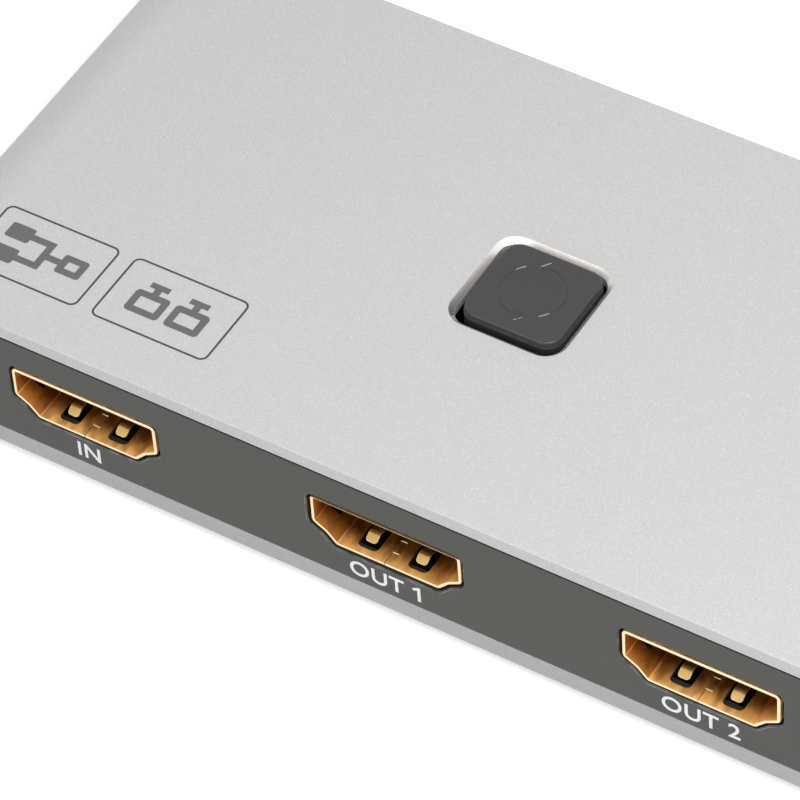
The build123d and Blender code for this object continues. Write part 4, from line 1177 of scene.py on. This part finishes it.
class SPLITTER_OT_panels(bpy.types.Operator):
    """Draw the socket panel and the power panel"""
    bl_idname = "splitter.panels"
    bl_label = "Panels"

    def execute(self, context):
        p = sizes("panel")
        s = sizes("socket")
        pipe = sizes("pipes")
        front = extent("socket_panel")[0].y
        growth = p.cutout_gap + p.edge_break
        front_tools = [
            moved(flared_hole(socket_corners(s, growth), socket_radii(s, growth), front,
                              THROUGH_PANEL, p.edge_break, FACING_FRONT, -1),
                  x=socket.x, z=socket.base)
            for socket in sockets()
        ]
        self.plate("socket_panel", "front_plate", -1, front_tools, p)
        back = extent("power_panel")[1].y
        wide, tall, middle = inlet_mouth()
        growth = 2 * (p.inlet_gap + p.edge_break)
        back_tools = [
            flared_hole(box_corners(wide + growth, tall + growth, middle),
                        [(tall + growth) / 2 - SHORT_OF_ROUND] * 4, back, THROUGH_PANEL,
                        p.edge_break, FACING_FRONT, 1, 12)
        ]
        hole = pipe.radius + pipe.gap
        mouth = hole + p.edge_break + JUST_PAST
        for x, level in light_places():
            back_tools.append(turned([(0, -THROUGH_PANEL), (hole, -THROUGH_PANEL),
                                      (hole, -p.edge_break), (mouth, JUST_PAST), (mouth, PAST),
                                      (0, PAST)], (x, back, level), (0, 1, 0)))
        self.plate("power_panel", "rear_plate", 1, back_tools, p)
        return {"FINISHED"}

    def plate(self, node, name, outward, tools, p):
        """One panel with its cut-outs and countersunk screw holes."""
        low, high = extent(node)
        front = outward < 0
        rims = (p.edge_break, p.inner_break) if front else (p.inner_break, p.edge_break)
        shape = block(high.x - low.x, high.z - low.z, low.y, high.y, (0, (low.z + high.z) / 2),
                      p.corner, FACING_FRONT, 18, rims)
        face = low.y if front else high.y
        sink = p.screw_seat - p.screw_hole
        for x, level in boss_places():
            tools.append(turned([(0, -THROUGH_PANEL), (p.screw_hole, -THROUGH_PANEL),
                                 (p.screw_hole, -sink), (p.screw_seat, 0), (p.screw_seat, PAST),
                                 (0, PAST)], (x, face, level), (0, outward, 0)))
        piece(name, softened(cut(shape, *tools), SOFT["panel"]), "panel", [node])


class SPLITTER_OT_screws(bpy.types.Operator):
    """Draw the countersunk panel screws"""
    bl_idname = "splitter.screws"
    bl_label = "Panel screws"

    def execute(self, context):
        p = sizes("panel")
        for node, name, outward in (("socket_panel_screws", "front_screws", -1),
                                    ("power_panel_screws", "rear_screws", 1)):
            low, high = extent(node)
            face = low.y if outward < 0 else high.y
            screws = [self.screw((x, face, level), (0, outward, 0), high.y - low.y, p)
                      for x, level in boss_places()]
            piece(name, together(*screws), "screw", [node])
        return {"FINISHED"}

    def screw(self, place, outward, long, p):
        """One screw: head, threaded shank and cross recess."""
        cone = p.screw_head - p.screw_shank
        edge_in, edge_down = HEAD_EDGE
        profile = [(0, 0), (p.screw_head - edge_in, 0), (p.screw_head, -edge_down),
                   (p.screw_shank, -cone)]
        depth = -cone - THREAD_PITCH
        while depth > -long + THREAD_PITCH:
            profile += [(p.screw_shank, depth),
                        (p.screw_shank - THREAD_DEPTH, depth - THREAD_PITCH / 2)]
            depth -= THREAD_PITCH
        profile += [(p.screw_shank - TIP_NARROWING, -long), (0, -long)]
        shape = turned(profile, (0, 0, 0), (0, 0, 1))
        recess = (p.recess_span, p.recess_width)
        shape = cut(shape, *(block(*bar, -p.recess_depth, PAST, radius=RECESS_CORNER)
                             for bar in (recess, recess[::-1])))
        shape.transform(stood(place, outward))
        return softened(shape, SOFT["screw"])


class SPLITTER_OT_socket_shells(bpy.types.Operator):
    """Draw the folded, gold-plated shells of the video sockets"""
    bl_idname = "splitter.socket_shells"
    bl_label = "Socket shells"

    def execute(self, context):
        s = sizes("socket")
        foremost = min(socket.lip for socket in sockets())
        for socket in sockets():
            shape = self.shell(s, set_back=socket.lip > foremost + 0.01)
            piece(f"{socket.name}_housing", moved(shape, socket.x, socket.lip, socket.base),
                  "gold_shell", [f"{socket.name}_shell"])
        return {"FINISHED"}

    def shell(self, s, set_back):
        """A shell with its lip at zero: tube, windows, seam, spring fingers and legs.

        The lip's edge gets a painted highlight, but not the top of one that is set back behind the
        panel.
        """
        tube = prism(socket_corners(s), socket_radii(s), 0, s.depth, FACING_FRONT,
                     rims=(s.lip, s.lip))
        inner_corners = socket_corners(s, -s.wall)
        inner = prism(inner_corners, socket_radii(s, -s.wall), -PAST, s.depth + PAST,
                      FACING_FRONT)
        windows = [
            block(s.window_width, s.window_length, -PAST, s.height + PAST,
                  (side * s.window_spacing / 2, s.window_start + s.window_length / 2),
                  s.window_corner)
            for side in (-1, 1)
        ]
        reach = s.width / 2 + PAST - s.side_inner
        sides = [
            block(reach, s.side_high - s.side_low, s.side_start, s.side_start + s.side_length,
                  (side * (s.side_inner + reach / 2), (s.side_low + s.side_high) / 2),
                  s.side_corner, FACING_FRONT, 4)
            for side in (-1, 1)
        ]
        tube = cut(tube, inner, *windows, *sides, self.seam(s))
        upper = s.height - s.wall + 0.05
        bm = working_copy(softened(tube, SOFT["shell"], angle=40))
        bmesh.ops.bisect_plane(bm, geom=bm.verts[:] + bm.edges[:] + bm.faces[:],
                               plane_co=(0, 0, upper), plane_no=(0, 0, 1))
        tube = mesh_from(bm)
        folds = [Vector(inner_corners[index]) for index in (1, 3, 4, 6)]
        # Marks for painted light: a highlight on the lip's edge, shade on the lip and on faces
        # turned to the right, and highlights along the folds
        for name, chosen in (
                ("rim", lambda normal, middle: (
                    middle.y < LIP_HIGHLIGHT_SHARE * s.lip and (middle.z < upper or not set_back))),
                ("shaded", lambda normal, middle: middle.y < s.lip),
                ("flank", lambda normal, middle: (
                    0.3 < normal.x < 0.98 or normal.x >= 0.98 and middle.x < 0)),
                ("fold", lambda normal, middle: any(
                    (middle.xz - fold).length < FOLD_HIGHLIGHT_REACH for fold in folds))):
            tube = marked(tube, name, chosen)
        return together(tube, *self.fingers(s), *self.legs(s), *self.burrs(s))

    def seam(self, s):
        """A thin cutting tool along the folded seam, with its dovetail."""
        left = -s.seam_shift
        right = left + s.seam_tab
        under = -0.5
        path = [(left, -PAST), (left, s.seam_start + s.seam_flare), (right, s.seam_start),
                (right, s.seam_end), (left, s.seam_end - s.seam_flare), (left, s.depth + PAST)]
        return as_sheet(ribbon([(x, y, under) for x, y in path], (0, 0, 1.5 * s.wall - under)),
                        s.seam)

    def burrs(self, s):
        """The raised edges at both ends of the seam's dovetail, marked as rims for a painted
        highlight.
        """
        middle, across = s.seam_tab / 2 - s.seam_shift, s.seam_tab + s.seam
        return [
            marked(block(across, BURR_WIDTH, s.wall - BURR_SUNK, s.wall + BURR_HEIGHT, (middle, y),
                         BURR_SOFT, LYING, 3, (0, BURR_SOFT)), "rim")
            for y in (s.seam_start, s.seam_end)
        ]

    def fingers(self, s):
        """The four spring fingers, two in the floor and two in the roof."""
        end = s.window_start + s.window_length
        strips = []
        for sheet, inward in ((s.wall / 2, 1), (s.height - s.wall / 2, -1)):
            path = [
                (end + s.finger_root, sheet),
                (end, sheet),
                (s.finger_peak, sheet + inward * s.peak_rise),
                (s.finger_tip, sheet + inward * s.tip_rise),
            ]
            for side in (-1, 1):
                strip = folded_strip(path, s.finger_width, side * s.window_spacing / 2,
                                     s.finger_bend, s.finger_sheet, s.finger_corner)
                strips.append(marked(softened(strip, SOFT["finger"], angle=40), "spring"))
        return strips

    def legs(self, s):
        """The legs that are soldered through the board."""
        low, high = extent("in_socket_shell")
        foot = low.z - (high.z - s.height)
        return [
            block(s.wall * LEG_SHARE, s.leg_width, foot, s.shoulder + s.leg_top,
                  (side * (s.width - s.wall) / 2, s.leg_middle + along * s.leg_spacing / 2),
                  s.leg_corner, LYING, 3, (s.leg_corner, 0))
            for side in (-1, 1)
            for along in (-1, 1)
        ]


class SPLITTER_OT_button(bpy.types.Operator):
    """Draw the square button cap with its engraved ring of arrows"""
    bl_idname = "splitter.button"
    bl_label = "Button"

    def execute(self, context):
        b = sizes("button")
        low, high = extent("select_button")
        across = high.x - low.x
        centre = ((low.x + high.x) / 2, (low.y + high.y) / 2)
        foot = (*centre, low.z)
        step_level = high.z - b.rise
        bm = bmesh.new()
        bottom = drawn_face(bm, box_corners(across, across), [b.corner + b.step] * 4, 12)
        bmesh.ops.translate(bm, verts=bm.verts, vec=foot)
        top = pushed(bm, bottom, (0, 0, step_level - low.z))
        ledge = set(top.edges)
        bmesh.ops.inset_region(bm, faces=[top], thickness=b.step, use_even_offset=True)
        top = pushed(bm, top, (0, 0, b.rise))
        bevelled(bm, list(top.edges), b.crown, 4)
        bevelled(bm, [edge for edge in ledge if edge.is_valid], STEP_SOFT, 2)
        # The skirt in the gap is marked for painted shade
        cap = marked(mesh_from(bm), "skirt", lambda normal, middle: (
            normal.z < 0.3 and middle.z < step_level - 0.1))
        roof = high.z - b.roof
        hollow = block(across - 2 * b.skirt, across - 2 * b.skirt, low.z - PAST, roof, centre,
                       HOLLOW_CORNER)
        hollow = cut(hollow, rod(b.boss, -2 * PAST, high.z, foot, (0, 0, 1)))
        bore = rod(b.bore, -2 * PAST, roof - low.z, foot, (0, 0, 1))
        cap = cut(cap, hollow, bore, *self.arrows(b, centre, high.z))
        cap = marked(softened(cap, SOFT["button"], angle=50), "groove", lambda normal, middle: (
            high.z - b.ring_depth - 0.01 < middle.z < high.z - 0.001
            and 0.5 < normal.z < 0.97
            and (middle.xy - Vector(centre)).length < across / 2 - 0.6))
        piece("button_cap", cap, "button", ["select_button"], body="button")
        return {"FINISHED"}

    def arrows(self, b, centre, face):
        """Cutting tools for two arrows that chase each other round a ring."""
        place = (centre[0] - b.ring_shift, centre[1] + b.ring_shift, face)
        sweep = math.radians(ARROW_SWEEP)
        reach = b.ring_width * 2
        rise = b.ring_depth * 2 * reach / b.ring_width - b.ring_depth
        section = [(0, -b.ring_depth), (reach, rise), (-reach, rise)]
        tools = []
        for start in map(math.radians, ARROW_STARTS):
            bm = bmesh.new()
            end = bm.faces.new([bm.verts.new((b.ring + x, 0, z)) for x, z in section])
            bmesh.ops.spin(bm, geom=[end], axis=(0, 0, 1), angle=sweep, steps=48)
            merged(bm)
            bmesh.ops.rotate(bm, verts=bm.verts, matrix=Matrix.Rotation(start, 3, "Z"))
            tools.append(moved(mesh_from(bm), *place))
            tip = Matrix.Rotation(start + sweep, 4, "Z") @ Matrix.Translation((b.ring, 0, 0))
            for lean in BARB_LEANS:
                bm = bmesh.new()
                end = bm.faces.new([bm.verts.new((x, 0, z)) for x, z in section])
                pushed(bm, end, (0, -b.barb, 0))
                barb = mesh_from(bm)
                barb.transform(tip @ Matrix.Rotation(math.radians(lean), 4, "Z"))
                tools.append(moved(barb, *place))
        return tools


class SPLITTER_OT_power_inlet(bpy.types.Operator):
    """Draw the oblong shell of the power inlet"""
    bl_idname = "splitter.power_inlet"
    bl_label = "Power inlet"

    def execute(self, context):
        i = sizes("inlet")
        low, high = extent("power_inlet_shell")
        wide, tall, centre = inlet_mouth()
        tube, bore = (
            block(wide - 2 * wall, tall - 2 * wall, low.y - past, high.y + past, centre,
                  tall / 2 - wall - SHORT_OF_ROUND, FACING_FRONT, 12)
            for wall, past in ((0, 0), (i.wall, PAST)))
        legs = [
            block(i.wall, i.leg_width, low.z, centre[1],
                  (centre[0] + side * (wide - i.wall) / 2,
                   high.y - i.leg_middle + along * i.leg_spacing / 2),
                  0.05, LYING, 3, (0.06, 0))
            for side in (-1, 1)
            for along in (-1, 1)
        ]
        piece("inlet_shell", together(softened(cut(tube, bore), SOFT["inlet"]), *legs), "steel",
              ["power_inlet_shell"])
        return {"FINISHED"}


class SPLITTER_OT_light_pipes(bpy.types.Operator):
    """Draw the bent light pipes with their collars"""
    bl_idname = "splitter.light_pipes"
    bl_label = "Light pipes"

    def execute(self, context):
        p = sizes("pipes")
        low, high = extent("light_pipes")
        panel_inner = extent("power_panel")[0].y - p.gap
        edge = p.collar - p.collar_soft
        profile = [(0, 0), (edge, 0), (p.collar, -p.collar_soft),
                   (p.collar, p.collar_soft - p.collar_length), (edge, -p.collar_length),
                   (0, -p.collar_length)]
        pipes = []
        for x, level in light_places():
            rod_shape = bent_rod(p.radius, (x, high.y, level),
                                 high.y - low.y - p.radius - p.bend, p.bend,
                                 level - p.bend - low.z)
            collar = turned(profile, (x, panel_inner, level), (0, 1, 0))
            pipes.append(softened(fused(rod_shape, collar), SOFT["pipe"], angle=50))
        piece("clear_pipes", together(*pipes), "light_pipe", ["light_pipes"])
        return {"FINISHED"}


class SPLITTER_OT_inner_parts(bpy.types.Operator):
    """Give the board, its parts, the switch and the contacts their finishes"""
    bl_idname = "splitter.inner_parts"
    bl_label = "Inner parts"

    def execute(self, context):
        replaced = {node for made in bpy.data.objects for node in made.get("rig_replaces", [])}
        for row in frame["record"]["subparts"]:
            if row["node"] not in replaced:
                dress(row["node"], finish(row["material_slot"]))
        return {"FINISHED"}


class SPLITTER_OT_labels(bpy.types.Operator):
    """Print a word under each video socket"""
    bl_idname = "splitter.labels"
    bl_label = "Labels"

    def execute(self, context):
        m = sizes("marks")
        face = extent("socket_panel")[0].y
        stand = Matrix.Rotation(math.radians(90), 4, "X")
        for socket, word in zip(sockets(), ("IN", "OUT 1", "OUT 2")):
            shape = self.lettering(word, m)
            place = Matrix.Translation((socket.x, face - m.ink, m.letter_level))
            shape.transform(place @ stand)
            piece(f"{socket.name}_label", shape, "label_ink")
        return {"FINISHED"}

    def lettering(self, text, m):
        """A word as a thin solid, centred over its foot line. A last 1 gets a flag."""
        curve = bpy.data.curves.new("word", "FONT")
        curve.body = text
        curve.align_x = "CENTER"
        curve.size = m.letter_height / CAPITAL_SHARE
        curve.offset = m.letter_weight
        curve.extrude = m.ink
        curve.resolution_u = 6
        curve.space_character = LETTER_SPACE
        carrier = bpy.data.objects.new("word", curve)
        bpy.context.scene.collection.objects.link(carrier)
        graph = bpy.context.evaluated_depsgraph_get()
        mesh = bpy.data.meshes.new_from_object(carrier.evaluated_get(graph))
        bpy.data.objects.remove(carrier)
        bpy.data.curves.remove(curve)
        if text.endswith("1"):
            right = max(vert.co.x for vert in mesh.vertices)
            stroke = m.letter_height * 0.19
            flag = bar_shape(right - stroke * 0.55, m.letter_height * 0.93, right - stroke * 2.3,
                             m.letter_height * 0.74, stroke * 0.85, 1.7 * m.ink)
            mesh = together(mesh, moved(flag, z=-m.ink))
        return mesh


class SPLITTER_OT_badges(bpy.types.Operator):
    """Print two framed pictures on the top of the sleeve"""
    bl_idname = "splitter.badges"
    bl_label = "Badges"

    def execute(self, context):
        m = sizes("marks")
        low, high = extent("case_sleeve")
        y = low.y + m.badge_front + m.badge_depth / 2
        turn = Matrix.Rotation(math.pi, 4, "Z")
        for name, x, draw in (("screens", -m.badge_first, self.screens),
                              ("fork", -m.badge_second, self.fork)):
            border = ring(m.badge_width, m.badge_depth, m.badge_corner, m.badge_line, m.ink)
            piece(f"{name}_frame", moved(border, x, y, high.z), "badge_ink")
            picture = draw(m)
            picture.transform(Matrix.Translation((x, y, high.z)) @ turn)
            piece(f"{name}_picture", picture, "badge_ink", look="picture_ink")
        return {"FINISHED"}

    def fork(self, m):
        """One source whose line forks to two screens."""
        bar, reach, rise, fork = m.stroke, 3.1, 1.35, -0.2
        return fused(
            moved(ring(2.5, 2.2, 0.3, bar, m.ink), x=-reach),
            bar_shape(-2.0, 0, fork, 0, bar, m.ink),
            bar_shape(fork, -rise - bar / 2, fork, rise + bar / 2, bar, m.ink),
            *(bar_shape(fork - 0.05, y, 2.2, y, bar, m.ink) for y in (rise, -rise)),
            *(moved(block(2.4, 1.75, 0, m.ink, radius=0.25), reach, y) for y in (rise, -rise)))

    def screens(self, m):
        """Two screens side by side, each on a foot."""
        return together(*(
            fused(moved(ring(3.4, 2.6, 0.4, m.stroke, m.ink), x=x, y=0.55),
                  bar_shape(x, -0.6, x, -1.4, m.stroke, m.ink),
                  bar_shape(x - 0.95, -1.6, x + 0.95, -1.6, m.stroke * 0.9, m.ink))
            for x in (-2.0, 2.0)))


def ring(width, height, corner, line, thickness):
    """A thin rounded frame that lies flat."""
    outer = block(width, height, 0, thickness, radius=corner, steps=8)
    inner = block(width - 2 * line, height - 2 * line, -PAST, thickness + PAST,
                  radius=max(corner - line, 0.02), steps=8)
    return cut(outer, inner)


def bar_shape(x1, y1, x2, y2, width, thickness):
    """A thin straight bar from one point to another."""
    start, end = Vector((x1, y1)), Vector((x2, y2))
    run = end - start
    shape = block(run.length, width, 0, thickness)
    slant = Matrix.Rotation(math.atan2(run.y, run.x), 4, "Z")
    shape.transform(Matrix.Translation((*(start + end) / 2, 0)) @ slant)
    return shape


class SPLITTER_OT_stage(bpy.types.Operator):
    """Set the floor, the light and the camera"""
    bl_idname = "splitter.stage"
    bl_label = "Stage"

    def execute(self, context):
        stage = scene_group("stage")
        self.floor()
        self.world(context.scene, stage.daylight)
        for row in LAMPS:
            self.lamp(*row)
        self.camera(context.scene, stage)
        context.scene.view_settings.view_transform = "Standard"
        return {"FINISHED"}

    def floor(self):
        """A wide pale floor that the camera sees as white, apart from shadow."""
        bm = bmesh.new()
        bmesh.ops.create_grid(bm, x_segments=1, y_segments=1, size=4)
        mesh = bpy.data.meshes.new("floor")
        bm.to_mesh(mesh)
        bm.free()
        floor = bpy.data.objects.new("floor", mesh)
        bpy.context.scene.collection.objects.link(floor)
        material = bpy.data.materials.new("pale_floor")
        material.use_nodes = True
        tree = material.node_tree
        shader = tree.nodes["Principled BSDF"]
        glow = times(tree, seen_directly(tree), 0.55)
        for label, value in (("Base Color", (0.6, 0.6, 0.6, 1)), ("Roughness", 0.9),
                             ("Emission Color", (1, 1, 1, 1)), ("Emission Strength", glow)):
            fed(tree, shader.inputs[label], value)
        mesh.materials.append(material)

    def world(self, scene, daylight):
        """Even daylight, seen as white by the camera and in gloss and glass."""
        world = bpy.data.worlds.new("daylight")
        world.use_nodes = True
        tree = world.node_tree
        sky = tree.nodes["Background"]
        sky.inputs["Color"].default_value = (1, 1, 1, 1)
        strength = between(tree, seen_directly(tree), daylight, 1.0)
        tree.links.new(strength, sky.inputs["Strength"])
        scene.world = world

    def lamp(self, name, place, size, power):
        """A square soft light that faces the splitter."""
        data = bpy.data.lights.new(name, "AREA")
        data.shape = "SQUARE"
        data.size = size
        data.energy = power
        lamp = bpy.data.objects.new(name, data)
        lamp.location = place
        lamp.rotation_euler = Vector(place).to_track_quat("Z", "Y").to_euler()
        bpy.context.scene.collection.objects.link(lamp)

    def camera(self, scene, stage):
        """The photograph's view: an aim point, and the way back from it."""
        turn = (Matrix.Rotation(stage.azimuth, 4, "Z")
                @ Matrix.Rotation(math.pi / 2 - stage.elevation, 4, "X")
                @ Matrix.Rotation(stage.roll, 4, "Z"))
        data = bpy.data.cameras.new("camera")
        data.sensor_width = 36
        data.lens = stage.lens
        data.clip_start = 0.01
        camera = bpy.data.objects.new("camera", data)
        camera.matrix_world = Matrix.Translation(Vector(AIM) * MM) @ turn @ Matrix.Translation(
            (0, 0, stage.distance))
        scene.collection.objects.link(camera)
        scene.camera = camera


def seen_directly(tree):
    """One where a camera, glossy or transmission ray sees the surface, else zero."""
    rays = tree.nodes.new("ShaderNodeLightPath").outputs
    either = math_node(tree, "MAXIMUM", rays["Is Camera Ray"], rays["Is Glossy Ray"])
    return math_node(tree, "MAXIMUM", either, rays["Is Transmission Ray"])


OPERATORS = (
    SPLITTER_OT_sleeve,
    SPLITTER_OT_feet,
    SPLITTER_OT_panels,
    SPLITTER_OT_screws,
    SPLITTER_OT_socket_shells,
    SPLITTER_OT_button,
    SPLITTER_OT_power_inlet,
    SPLITTER_OT_light_pipes,
    SPLITTER_OT_inner_parts,
    SPLITTER_OT_labels,
    SPLITTER_OT_badges,
    SPLITTER_OT_stage,
)


class SPLITTER_PT_panel(bpy.types.Panel):
    """The splitter's pieces and sizes in the sidebar"""
    bl_idname = "SPLITTER_PT_panel"
    bl_label = "Video Splitter"
    bl_space_type = "VIEW_3D"
    bl_region_type = "UI"
    bl_category = "Splitter"

    def draw(self, context):
        for operator in OPERATORS:
            self.layout.operator(operator.bl_idname)
        for name, group in SETTINGS.items():
            box = self.layout.box()
            box.label(text=group.__doc__)
            for setting in group.__annotations__:
                box.prop(getattr(context.scene, name), setting)


def register():
    """Register the classes and hang the settings on the scene."""
    for shown in (*SETTINGS.values(), *OPERATORS, SPLITTER_PT_panel):
        bpy.utils.register_class(shown)
    for name, group in SETTINGS.items():
        setattr(bpy.types.Scene, name, bpy.props.PointerProperty(type=group))


def unregister():
    """Take the settings and classes away again."""
    for name in SETTINGS:
        delattr(bpy.types.Scene, name)
    for shown in (SPLITTER_PT_panel, *reversed(OPERATORS), *reversed(SETTINGS.values())):
        bpy.utils.unregister_class(shown)


def main():
    """Build every piece and the stage."""
    register()
    for operator in OPERATORS:
        family, name = operator.bl_idname.split(".")
        getattr(getattr(bpy.ops, family), name)()


if __name__ == "__main__":
    main()
